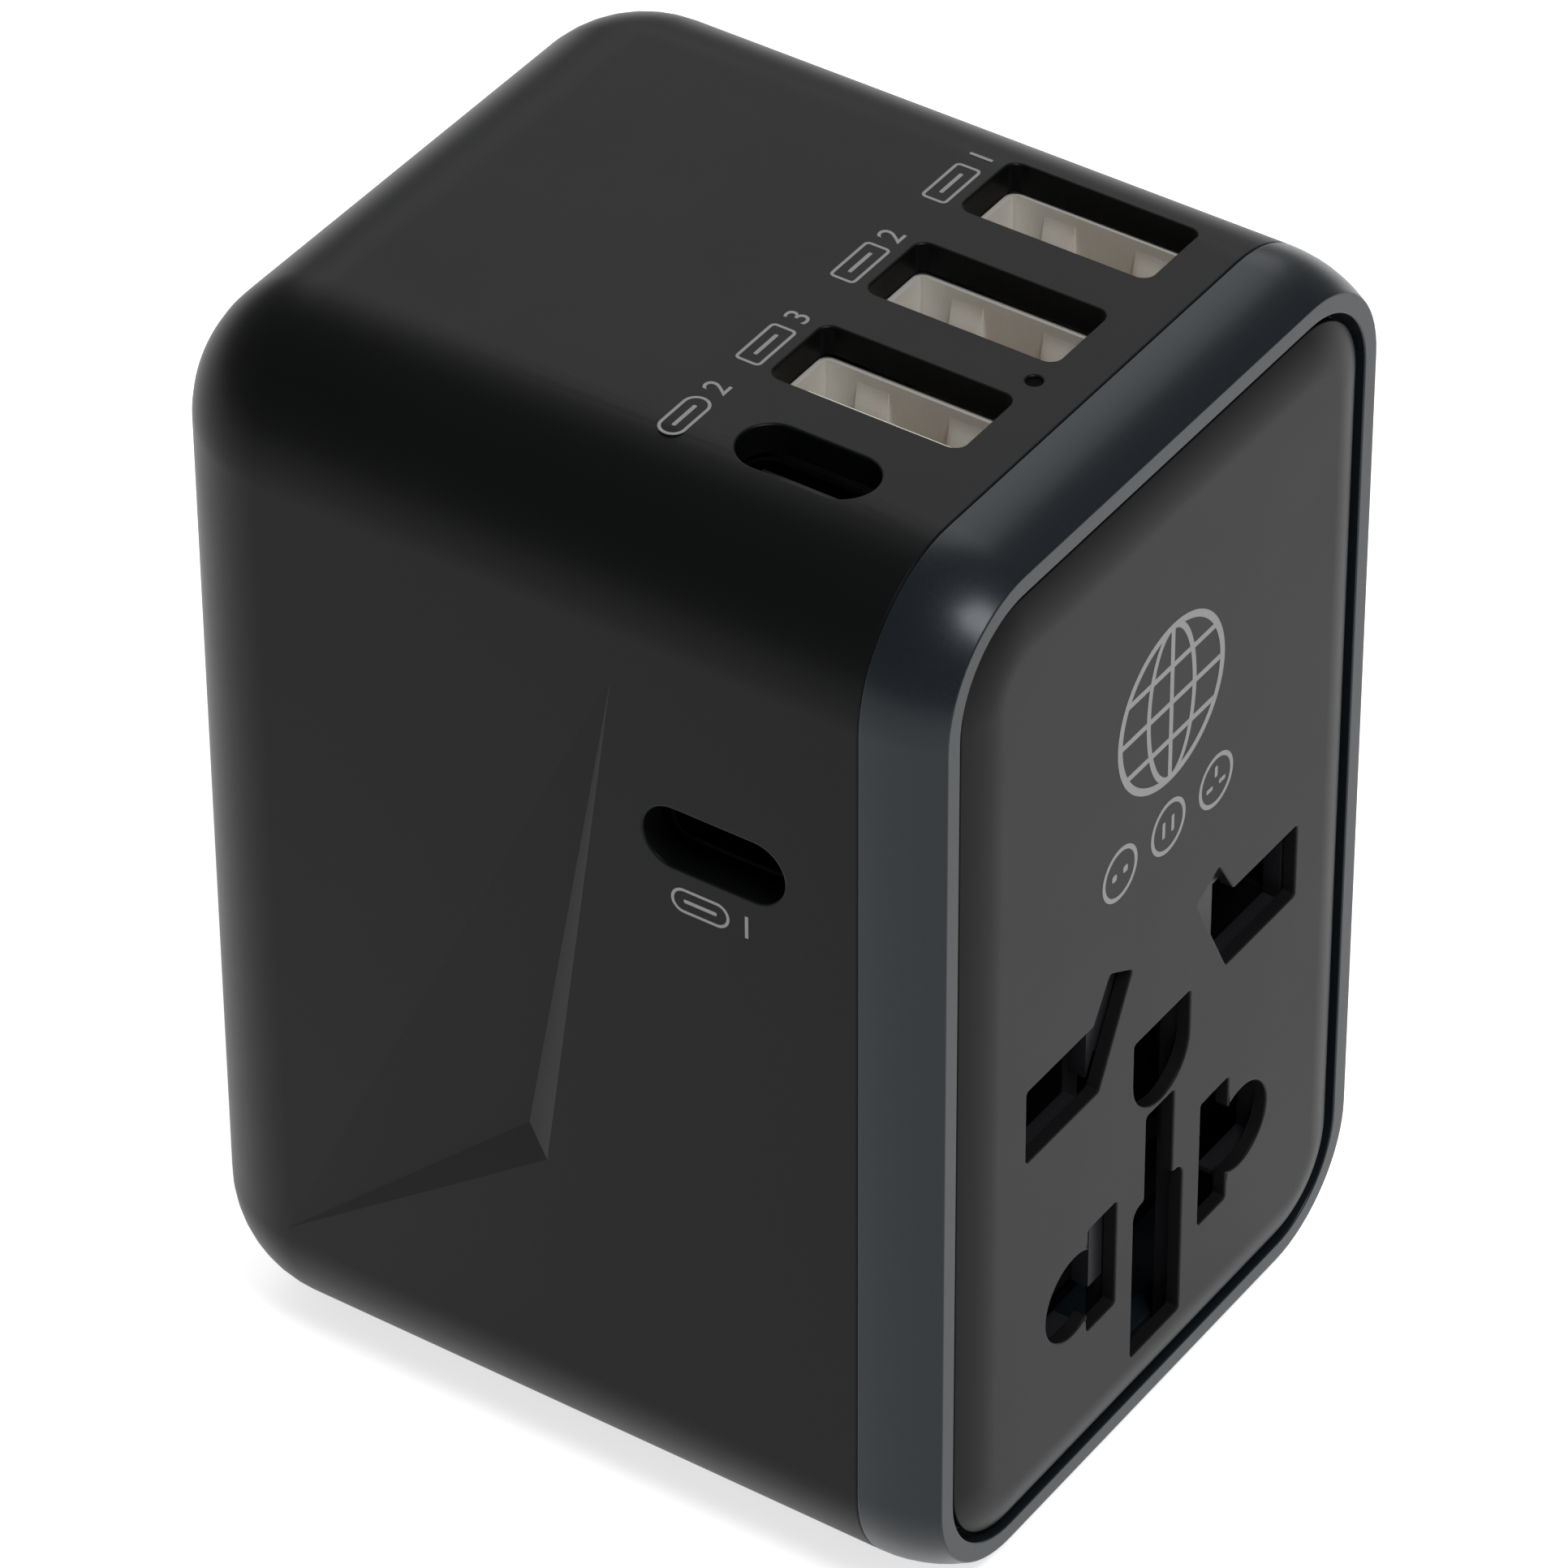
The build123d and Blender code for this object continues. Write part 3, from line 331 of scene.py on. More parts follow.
def surface(name, **inputs):
    """Material with one Principled shader; returns the material, its nodes and the shader."""
    material = bpy.data.materials.new(name)
    material.use_nodes = True
    tree = material.node_tree
    tree.nodes.clear()
    shader = add(tree, "ShaderNodeBsdfPrincipled", {k.replace("_", " "): v for k, v in inputs.items()})
    output = add(tree, "ShaderNodeOutputMaterial", {"Surface": shader.outputs["BSDF"]})
    output.is_active_output = True
    return material, tree, shader


def texture(tree, kind, size, **settings):
    """Texture node on Object coordinates whose pattern repeats about once per size in metres."""
    coordinates = add(tree, "ShaderNodeTexCoord")
    return add(tree, kind, {"Vector": coordinates.outputs["Object"], "Scale": 1 / size, **settings})


def vary(tree, shader, amount, base, shades, roughness):
    """Let a 0 to 1 pattern move the shader's colour between two shades of base, and its roughness between two
    values."""
    low, high = (shade(base, factor) for factor in shades)
    mix = add(tree, "ShaderNodeMix", {0: amount, 6: low, 7: high}, data_type="RGBA")
    tree.links.new(mix.outputs[2], shader.inputs["Base Color"])
    spread = add(tree, "ShaderNodeMapRange", {"Value": amount, "To Min": roughness[0], "To Max": roughness[1]})
    tree.links.new(spread.outputs["Result"], shader.inputs["Roughness"])


def bump(tree, shader, height, depth):
    """Raise the surface by a 0 to 1 height pattern times a depth in metres."""
    node = add(tree, "ShaderNodeBump", {"Height": height, "Distance": depth, "Strength": 1.0})
    tree.links.new(node.outputs["Normal"], shader.inputs["Normal"])


def shade(base, factor):
    """A colour made lighter or darker by a factor."""
    return (*[channel * factor for channel in base[:3]], 1.0)


def spark_eroded_abs(name, base, specular, roughness):
    """ABS moulded in a spark-eroded tool: a matt skin of fine pits, so that highlights are wide and soft."""
    _, tree, shader = surface(name, Base_Color=base, Specular_IOR_Level=specular)
    grain = texture(tree, "ShaderNodeTexNoise", 0.14 * MM, Detail=2.0)   # pits of the spark-eroded tool
    cloud = texture(tree, "ShaderNodeTexNoise", 9 * MM, Detail=3.0)      # uneven gloss left by the melt's flow
    vary(tree, shader, cloud.outputs["Fac"], base, (0.94, 1.06),
         (roughness - 0.03, roughness + 0.03))
    bump(tree, shader, grain.outputs["Fac"], 0.004 * MM)


def painted_trim(name, base):
    """Moulded ring sprayed with satin metallic paint: fine flakes under a thin clear coat."""
    _, tree, shader = surface(name, Base_Color=base, Metallic=0.35, Roughness=0.34, Coat_Weight=0.1,
                                     Coat_Roughness=0.22, Specular_IOR_Level=0.25)
    flakes = texture(tree, "ShaderNodeTexVoronoi", 0.12 * MM)    # flakes, drawn coarse enough to show
    vary(tree, shader, flakes.outputs["Distance"], base, (0.86, 1.12), (0.31, 0.38))
    orange_peel = texture(tree, "ShaderNodeTexNoise", 1.3 * MM, Detail=1.0)
    bump(tree, shader, orange_peel.outputs["Fac"], 0.004 * MM)


def pad_print(name, base):
    """Pad-printed ink: a thin matt film with slightly uneven cover."""
    _, tree, shader = surface(name, Base_Color=base, Roughness=0.5, Specular_IOR_Level=0.3)
    cover = texture(tree, "ShaderNodeTexNoise", 0.3 * MM, Detail=3.0)
    vary(tree, shader, cover.outputs["Fac"], base, (0.8, 1.1), (0.45, 0.6))


def rolled_metal(name, base, roughness, metallic=1.0, stretch=(1.0, 1.0, 0.04)):
    """Rolled sheet metal: fine grain drawn out along one axis, which smears its highlights."""
    _, tree, shader = surface(name, Base_Color=base, Metallic=metallic)
    coordinates = add(tree, "ShaderNodeTexCoord")
    drawn = add(tree, "ShaderNodeMapping", {"Vector": coordinates.outputs["Object"], "Scale": stretch})
    lines = add(tree, "ShaderNodeTexNoise",
                {"Vector": drawn.outputs["Vector"], "Scale": 1 / METAL_GRAIN, "Detail": 2.0})
    vary(tree, shader, lines.outputs["Fac"], base, (0.9, 1.08),
         (roughness - 0.05, roughness + 0.08))
    bump(tree, shader, lines.outputs["Fac"], 0.001 * MM)


def gloss_moulding(name, base, roughness=0.25, transmission=0.0, specular=0.5):
    """Polished moulding, such as a connector's insulator: smooth, with faint flow marks."""
    _, tree, shader = surface(name, Base_Color=base, Transmission_Weight=transmission,
                                     Specular_IOR_Level=specular)
    flow = texture(tree, "ShaderNodeTexNoise", 2 * MM, Detail=2.0)
    vary(tree, shader, flow.outputs["Fac"], base, (0.9, 1.05), (roughness - 0.05, roughness + 0.08))


def circuit_laminate(name, base):
    """Glass-cloth board under solder mask: the weave shows as a faint square ripple."""
    _, tree, shader = surface(name, Base_Color=base, Roughness=0.4)
    weave = texture(tree, "ShaderNodeTexChecker", 0.45 * MM, Color1=(0, 0, 0, 1), Color2=(1, 1, 1, 1))
    vary(tree, shader, weave.outputs["Fac"], base, (0.85, 1.1), (0.32, 0.42))


def sintered_ferrite(name, base):
    """Sintered ferrite: dark and gritty."""
    _, tree, shader = surface(name, Base_Color=base, Specular_IOR_Level=0.4)
    grit = texture(tree, "ShaderNodeTexNoise", 0.1 * MM, Detail=4.0)
    vary(tree, shader, grit.outputs["Fac"], base, (0.7, 1.3), (0.6, 0.8))
    bump(tree, shader, grit.outputs["Fac"], 0.01 * MM)


def enamelled_winding(name, base):
    """Layers of enamelled copper wire: bands as wide as the wire, their colour darker in the grooves between the
    wires as painted shade.
    """
    _, tree, shader = surface(name, Base_Color=base, Metallic=0.7, Coat_Weight=0.5)
    turns = texture(tree, "ShaderNodeTexWave", 0.3 * MM, Distortion=0.3)
    turns.bands_direction = "Z"
    # Colour follows the bands' height: darker in the grooves between the wires, painted shade beside the real bump.
    vary(tree, shader, turns.outputs["Fac"], base, (0.5, 1.1), (0.25, 0.45))
    bump(tree, shader, turns.outputs["Fac"], 0.08 * MM)


# Each slot of the record, and the name of its material
FINISHES = {
    "case_plastic": "black_abs_spark_eroded",
    "bezel_finish": "satin_metallic_paint_sprayed",
    "face_plastic": "grey_abs_spark_eroded",
    "inner_plastic": "black_polycarbonate_moulded",
    "spring_steel": "music_wire_drawn",
    "contact_brass": "brass_strip_stamped",
    "pin_metal": "brass_nickel_plated",
    "shell_steel": "steel_strip_tin_plated",
    "tongue_plastic": "white_nylon_moulded",
    "black_tongue": "black_nylon_moulded",
    # The light guide's finish is near-black and barely reflects: painted shade of the status light's hole.
    "light_guide": "acrylic_blackened_as_hole_shade",
    "board_laminate": "glass_epoxy_solder_mask",
    "ferrite": "ferrite_sintered",
    "copper_wire": "copper_wire_enamelled",
    "can_aluminium": "aluminium_deep_drawn",
    "fuse_glass": "glass_tube_fire_polished",
}
INK, GOLD = "grey_ink_pad_printed", "phosphor_bronze_gold_plated"
# Near-black steel for the USB-C shells: painted shade inside their narrow ports, not a plating of its own.
PORT_SHADE_STEEL = "steel_darkened_as_port_shade"


def finish(slot):
    """Material of a slot of the record, or by its own name."""
    return bpy.data.materials[FINISHES.get(slot, slot)]


def make_finishes(settings):
    """Every material of the adapter."""
    name = FINISHES
    spark_eroded_abs(name["case_plastic"], settings.case.case_colour, 0.1, 0.38)
    painted_trim(name["bezel_finish"], settings.case.bezel_colour)
    spark_eroded_abs(name["face_plastic"], settings.socket.plate_colour, 0.1, 0.4)
    spark_eroded_abs(name["inner_plastic"], linear("1B1B1E"), 0.25, 0.45)
    pad_print(INK, settings.socket.print_colour)
    rolled_metal(name["spring_steel"], linear("B4B6B9"), 0.25)
    rolled_metal(name["contact_brass"], linear("C8A25A"), 0.28)
    rolled_metal(name["pin_metal"], linear("C9C7C1"), 0.24, stretch=(1.0, 0.04, 1.0))
    rolled_metal(name["shell_steel"], linear("F4F1EA"), 0.36, metallic=0.5)
    # The near-black steel of the USB-C shells paints the shade inside their ports.
    rolled_metal(PORT_SHADE_STEEL, linear("2A2A2C"), 0.35)
    rolled_metal(GOLD, settings.ports.gold_colour, 0.25)
    gloss_moulding(name["tongue_plastic"], linear("E9E7E0"), 0.35)
    gloss_moulding(name["black_tongue"], linear("141415"), 0.3)
    # Near-black, almost unreflecting light guide: painted shade of its small hole, not a clear guide's own colour.
    gloss_moulding(name["light_guide"], linear("030303"), 0.6, specular=0.02)
    circuit_laminate(name["board_laminate"], linear("1F4A33"))
    sintered_ferrite(name["ferrite"], linear("3B3C3E"))
    enamelled_winding(name["copper_wire"], linear("B5652F"))
    rolled_metal(name["can_aluminium"], linear("A8ACB4"), 0.35)
    gloss_moulding(name["fuse_glass"], linear("DCE6E6"), 0.1, 0.8)


# Socket pattern and other cut-outs

def at_side(side, corners, radii):
    """Rounded outline of corners and radii in millimetres, as they are on the right or mirrored to the left."""
    corners, radii = np.array(corners) * MM, np.array(radii) * MM
    if side < 0:
        corners, radii = corners[::-1] * (-1, 1), radii[::-1]
    return rounded(corners, radii, 9)


def british_slot(side):
    """Slot for a British line pin, joined to the slanting slot of an Australian blade."""
    corners = [(7.15, 31.5), (15.1, 31.5), (15.1, 37.0), (7.8, 37.0), (6.08, 39.85), (3.63, 38.5)]
    return at_side(side, corners, [0.25] * 6)


def euro_slot(side):
    """Round hole of a European pin, joined to the slot of an American blade.

    The hole's arc is its tangent polygon with corners rounded to the hole's own radius."""
    radius, centre = 3.05, (9.5, 16.9)
    low, high = (12.2, 22.0) if side > 0 else (12.9, 21.1)
    inner, outer = 4.75, 7.95
    start = math.acos((outer - centre[0]) / radius)
    junction = radius * math.sin(start)
    arc = arc_corners(centre, radius, -start, start, 4)
    corners = [(inner, low), (outer, low), (outer, centre[1] - junction), *arc, (outer, centre[1] + junction),
               (outer, high), (inner, high)]
    join = 0.97 * radius         # leaves room for the small rounding where hole and slot meet
    return at_side(side, corners, [0.25, 0.25, 0.05, join, radius, radius, join, 0.05, 0.25, 0.25])


def ground_hole():
    """D-shaped hole of an American ground pin: square above, half round below."""
    return at_side(1, rectangle((0, 29.075), 6.3, 6.35), [3.149, 3.149, 0.25, 0.25])


def earth_slot():
    """Bottle-shaped slot: wide for a British earth pin, narrow above it for an Australian one."""
    right = [(2.78, 6.9), (2.78, 18.8), (1.57, 18.8), (1.57, 25.5)]
    left = [(-x, z) for x, z in reversed(right)]
    radii = [0.25, 0.85, 0.3, 0.25]
    return at_side(1, right + left, radii + radii[::-1])


def socket_slots():
    return [british_slot(-1), british_slot(1), euro_slot(-1), euro_slot(1), ground_hole(), earth_slot()]


def fan_slot(side):
    """Slot in which an American blade turns: the hull of the blade upright and turned, pinched at its waist."""
    half_width, half_height, turn, upright = 0.95, 3.375, math.radians(30), math.pi / 2
    reach = math.hypot(half_width, half_height)
    edge = math.atan2(half_width, half_height)
    waist = half_width * math.tan(turn / 2)
    low, high = upright - turn - edge, upright + edge
    half = [(half_width, -waist), (reach * math.cos(low), reach * math.sin(low)),
            *arc_corners((0, 0), reach, low, high, 2), (-half_width, half_height)]
    corners = np.concatenate([half, -np.array(half)])
    points, normals = at_side(-side, corners, [0.3, 0.2, 0.8 * reach, 0.8 * reach, 0.2] * 2)
    return points + np.array([side * 6.35, 60.0]) * MM, normals


def plug_slots():
    """Slots of the plug face: two fans, three British and two round ones, 0.2 mm clear of the pins."""
    gap = 0.4 * MM
    slots = [fan_slot(side) for side in (-1, 1)]
    for name in ("uk_live_pin", "uk_neutral_pin", "uk_earth_pin", "eu_pin_left", "eu_pin_right"):
        low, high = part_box(name)
        centre = (low.x + high.x) / 2, (low.z + high.z) / 2
        width, height = high.x - low.x + gap, high.z - low.z + gap
        slots.append(capsule(centre, width, height) if name.startswith("eu")
                     else rounded(rectangle(centre, width, height), 0.25 * MM, 4))
    return slots


def plug_outline(offset):
    """Outline of the plug face, moved out by offset, with as many points as the case's outline."""
    low, high = PLUG_FACE
    corners = rectangle((0, (low.z + high.z) / 2), high.x - low.x, high.z - low.z)
    points, normals = rounded(corners, 4.0 * MM, CORNER_STEPS)
    return points + offset * normals, normals


# Case

def case_loop(y, inset, radius):
    """The case's rounded cross-section at depths y, drawn in by inset, with the given corner radius."""
    corners = rectangle((0, HEIGHT / 2), 2 * (HALF_WIDTH - inset), HEIGHT - 2 * inset)
    points, _ = rounded(corners, radius, CORNER_STEPS)
    return np.stack([points[:, 0], np.broadcast_to(y, len(points)), points[:, 1]], axis=1)


def back_fall(points, inset, corner, rounding):
    """How far the back has fallen away at points: rounding - sqrt(rounding^2 - d^2), where d is the distance
    outside the flat part, a rounded rectangle."""
    flat = np.array([HALF_WIDTH, HEIGHT / 2]) - inset - corner
    beyond = np.maximum(np.abs(points - (0, HEIGHT / 2)) - flat, 0)
    distance = np.clip(np.hypot(*beyond.T) - (corner - rounding), 0, rounding)
    return rounding - np.sqrt(rounding ** 2 - distance ** 2)


def back_rows(opening, y, inset, corner, rounding):
    """Rows of one skin from the side round to the opening in the back.

    The first rows turn through an angle: the loop draws in by rounding * (1 - sin) and moves back by
    rounding * (1 - cos). The others go in straight steps from there to the opening, on the same surface."""
    angles = np.linspace(math.pi / 2, math.pi / 6, 10)
    rows = [case_loop(y - rounding * (1 - math.cos(a)), inset + rounding * (1 - math.sin(a)),
                      corner - rounding * (1 - math.sin(a))) for a in angles]
    start = rows[-1][:, (0, 2)]
    for step in (0.25, 0.5, 0.75, 1.0):
        points = start + step * (opening - start)
        fallen = back_fall(points, inset, corner, rounding)
        rows.append(np.stack([points[:, 0], y - fallen, points[:, 1]], axis=1))
    return rows


def track_outlines(kind):
    """A knob's shallow track and the through slot in its floor, on the right side."""
    low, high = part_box(f"{kind}_knob")
    travel = next(j["range_m"][1] for j in frame["joints"] if j["name"] == f"{kind}_slide")
    middle = (low.z + high.z) / 2
    pad = (low.y - 0.4 * MM, low.y + 9.4 * MM + travel)
    neck = (low.y + 2.1 * MM, low.y + 6.9 * MM + travel)
    track = rounded(rectangle((sum(pad) / 2, middle), pad[1] - pad[0], 8.8 * MM), 2.4 * MM)
    slot = rounded(rectangle((sum(neck) / 2, middle), neck[1] - neck[0], 3.4 * MM), 0.3 * MM, 4)
    return track, slot


def grip_recess():
    """Three flat facets from the recess's rim down to its deepest point, and the rim."""
    rim = np.array([(22.2, 64.2), (27.6, 25.1), (47.6, 9.9)]) * MM + (LIP_Y, 0)
    deepest = place(LEFT, np.array([[29.7 * MM + LIP_Y, 26.3 * MM]]), 1.16 * MM)
    points = np.concatenate([place(LEFT, rim), deepest])
    return rim, (points, np.array([(0, 1, 3), (1, 2, 3), (2, 0, 3)]), FLAT)


def node_centre(node, first, second):
    """Middle of a CAD node along two axes."""
    low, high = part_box(node)
    return (low[first] + high[first]) / 2, (low[second] + high[second]) / 2


def top_cutouts(ports):
    """Three USB-A cut-outs, one USB-C cut-out and the status light's hole."""
    cutouts = [rounded(rectangle(node_centre(f"{n}_shell", 0, 1), ports.a_width, ports.a_length), 0.8 * MM)
               for n in USB_A]
    cutouts.append(capsule(node_centre("usb_c2_shell", 0, 1), ports.c_width, ports.c_length))
    cutouts.append(capsule(node_centre("light_pipe", 0, 1), 2 * ports.light_radius, 2 * ports.light_radius))
    return cutouts


def crossed(outline, offset, axis, lines):
    """Outline with extra points where it crosses lines across one axis once it is moved out by offset."""
    points, normals = outline
    for line in lines:
        here = (points + offset * normals)[:, axis] - line
        following = np.roll(here, -1)
        crossing = np.nonzero(here * following < 0)[0]
        share = (here / (here - following))[crossing, None]
        points, normals = (np.insert(values, crossing + 1, (1 - share) * values[crossing]
                                     + share * np.roll(values, -1, axis=0)[crossing], axis=0)
                           for values in (points, normals))
    return points, normals


def flank_bands(axis, flat, run, radius, strips):
    """A flat side's loops and the lines between them: the flat itself and a few strips of the roundings beside
    it, which lie at radius * sin(angle) beyond the flat's ends."""
    reach = radius * np.sin(np.arange(strips + 1) * math.pi / 2 / (CORNER_STEPS - 1))
    lines = np.concatenate([(flat[0] - reach)[::-1], flat[1] + reach])
    bands = []
    for low, high in zip(lines[:-1], lines[1:]):
        middle, size = ((low + high) / 2, sum(run) / 2), (high - low, run[1] - run[0])
        bands.append(rectangle(middle[::-1] if axis else middle, *(size[::-1] if axis else size)))
    return bands, lines


def flank_fall(axis, flat, radius):
    """Depth of the rounding beside a flat side: radius - sqrt(radius^2 - d^2), d being the way past it."""
    def fall(points):
        beyond = np.maximum(np.maximum(flat[0] - points[:, axis], points[:, axis] - flat[1]), 0)
        return radius - np.sqrt(np.maximum(radius ** 2 - beyond ** 2, 0))
    return fall


def flank_parts(side, axis, flat, settings, through=(), shallow=(), extra=()):
    """Both skins of one side of the housing, and its cut-outs.

    Through ones join the skins, a shallow one ends in a floor with a slot of its own, and extra holes stay open."""
    case = settings.case
    wall, edge, corner = case.wall, case.edge, case.corner_radius
    inner_end = BACK_Y - case.back_wall - (case.back_radius - wall)
    outer_run = SEAM_Y + edge, BACK_Y - case.back_radius
    bands, lines = flank_bands(axis, flat, outer_run, corner, OUTER_STRIPS)
    inner_bands, inner_lines = flank_bands(axis, flat, (SEAM_Y, inner_end), corner - wall, INNER_STRIPS)
    fall, inner_fall = flank_fall(axis, flat, corner), flank_fall(axis, flat, corner - wall)
    through = [crossed(crossed(outline, edge, axis, lines), 0, axis, inner_lines) for outline in through]
    shallow = [(crossed(track, edge, axis, lines), crossed(slot, 0, axis, inner_lines))
               for track, slot in shallow]
    cut = through + [track for track, _ in shallow]
    parts = [sheet(side, bands, [points + edge * out for points, out in cut] + list(extra), fall=fall),
             sheet(side, inner_bands, [points for points, _ in through + [slot for _, slot in shallow]], wall,
                   fall=inner_fall)]
    for points, out in cut:
        rim = fall(points + edge * out)[:, None]
        ramp = [place(side, points + offset * out, rim + depth) for offset, depth in round_ramp(edge)]
        is_through = any(points is outline for outline, _ in through)
        end = wall + inner_fall(points)[:, None] if is_through else TRACK_DEPTH
        parts.append(loft([*ramp, place(side, points, end)]))
    for track, slot in shallow:
        under = wall + inner_fall(slot[0])[:, None]
        parts += [sheet(side, [track[0]], [slot[0]], TRACK_DEPTH),
                  loft([place(side, slot[0], depth) for depth in (TRACK_DEPTH, under)])]
    return parts


def housing_parts(settings):
    """Every surface of the housing: both skins round the case, their flats, and the cut-outs that join them."""
    case, ports = settings.case, settings.ports
    corner, wall, edge = case.corner_radius, case.wall, case.edge
    inner_corner, inner_rounding = corner - wall, case.back_radius - wall
    inner_back = BACK_Y - case.back_wall

    opening, normals = plug_outline(PLUG_GAP)
    rim = opening + edge * normals
    ledge, _ = plug_outline(-PLUG_LEDGE)
    rim_y = BACK_Y - back_fall(rim, 0, corner, case.back_radius)
    ramp = [np.insert(opening + offset * normals, 1, rim_y - depth, axis=1)
            for offset, depth in round_ramp(edge)]
    seat = [np.insert(outline, 1, PLUG_FACE[0].y, axis=1) for outline in (opening, ledge)]
    skin = [*back_rows(rim, BACK_Y, 0, corner, case.back_radius), *ramp, *seat,
            *back_rows(ledge, inner_back, wall, inner_corner, inner_rounding)[::-1]]
    front = [case_loop(SEAM_Y + offset, depth, corner - depth) for offset, depth in round_ramp(edge)]
    front.append(case_loop(SEAM_Y, wall, inner_corner))
    parts = [loft(skin), loft(front)]
    column = np.arange(4 * CORNER_STEPS) % CORNER_STEPS
    for start, end, inset, strips in ((SEAM_Y + edge, BACK_Y - case.back_radius, 0, OUTER_STRIPS),
                                      (SEAM_Y, inner_back - inner_rounding, wall, INNER_STRIPS)):
        between = (column >= strips) & (column < CORNER_STEPS - 1 - strips)
        parts.append(loft([case_loop(y, inset, corner - inset) for y in (start, end)], between))

    recess, facets = grip_recess()
    side_port = capsule(node_centre("usb_c1_shell", 1, 2), ports.side_length, ports.side_width)
    across, upright = (corner - HALF_WIDTH, HALF_WIDTH - corner), (corner, HEIGHT - corner)
    parts += flank_parts(TOP, 0, across, settings, top_cutouts(ports))
    parts += flank_parts(BOTTOM, 0, across, settings)
    parts += flank_parts(LEFT, 1, upright, settings, [side_port], extra=[recess])
    parts += flank_parts(RIGHT, 1, upright, settings, shallow=[track_outlines(kind) for kind in KINDS])
    return parts + [facets]


def lip_loop(y, inset, case):
    """The case's cross-section, drawn in by inset, at a depth behind the lip."""
    return case_loop(LIP_Y + y, inset, case.corner_radius - inset)


def bezel_parts(case):
    """Trim ring: a closed profile in depth and inset, carried round the case.

    Its outside is one arc that leaves the housing's side straight on and ends at the lip."""
    depth = SEAM_Y - LIP_Y
    tangent = (depth ** 2 + case.lip_inset ** 2) / (2 * depth)
    angle = 2 * math.atan2(case.lip_inset, depth)
    arc = 0.94 * tangent / math.tan(angle / 2)
    mouth = (case.lip_inset + case.lip_width) / MM
    corners = [(depth / MM, 0), ((depth - tangent) / MM, 0), (0, case.lip_inset / MM), (0, mouth), (2.0, mouth),
               (2.0, 4.7), (3.6, 4.7), (3.6, 3.9), (7.7, 3.9), (7.7, 2.1), (depth / MM, 2.1)]
    radii = np.array([0.1, arc / MM, 0.14, 0.12, 0.1, 0.2, 0.1, 0.1, 0.1, 0.2, 0.05])
    profile, _ = rounded(np.array(corners) * MM, radii * MM)
    rows = [lip_loop(y, inset, case) for y, inset in profile]
    return [loft([*rows, rows[0]])]


def plug_face_parts(edge):
    """Inset plate with rounded rim and slots that go right through."""
    outer = plug_outline(0)
    thick = BACK_Y - PLUG_FACE[0].y
    slots = plug_slots()
    parts = [sheet(BACK, [outer[0] - 0.2 * MM * outer[1]], [points + edge * out for points, out in slots]),
             tube(BACK, outer, [*(round_ramp(0.2 * MM) - (0.2 * MM, 0)), (0, thick)]),
             sheet(BACK, [outer[0]], [points for points, _ in slots], thick)]
    return parts + [tube(BACK, slot, [*round_ramp(edge), (0, thick)]) for slot in slots]


class ADAPTER_OT_finishes(bpy.types.Operator):
    """Make every finish and give the frame's own nodes theirs"""
    bl_idname = "adapter.finishes"
    bl_label = "Finishes"

    def execute(self, context):
        make_finishes(context.scene.adapter)
        for row in frame["record"]["subparts"]:
            node = frame["nodes"][row["node"]]
            for place_in_mesh in node.material_slots:
                # USB-C shells take the near-black steel, which paints the shade inside their ports.
                dark = row["node"].startswith("usb_c") and row["material_slot"] == "shell_steel"
                place_in_mesh.material = finish(PORT_SHADE_STEEL if dark else row["material_slot"])
        return {"FINISHED"}


class ADAPTER_OT_case(bpy.types.Operator):
    """Build the housing with its cut-outs"""
    bl_idname = "adapter.case"
    bl_label = "Housing"

    def execute(self, context):
        build("housing_moulding", housing_parts(context.scene.adapter), finish("case_plastic"),
              replaces=["housing"], crisp=12)
        return {"FINISHED"}


class ADAPTER_OT_bezel(bpy.types.Operator):
    """Build the trim ring between the housing and the face plate"""
    bl_idname = "adapter.bezel"
    bl_label = "Trim ring"

    def execute(self, context):
        build("trim_ring", bezel_parts(context.scene.adapter.case), finish("bezel_finish"), replaces=["bezel"],
              crisp=30)
        return {"FINISHED"}


class ADAPTER_OT_plug_face(bpy.types.Operator):
    """Build the slotted plate that the plug pins come out of"""
    bl_idname = "adapter.plug_face"
    bl_label = "Plug face"

    def execute(self, context):
        build("plug_side_plate", plug_face_parts(context.scene.adapter.case.edge), finish("case_plastic"),
              replaces=["plug_face"], crisp=12)
        return {"FINISHED"}


# Socket face

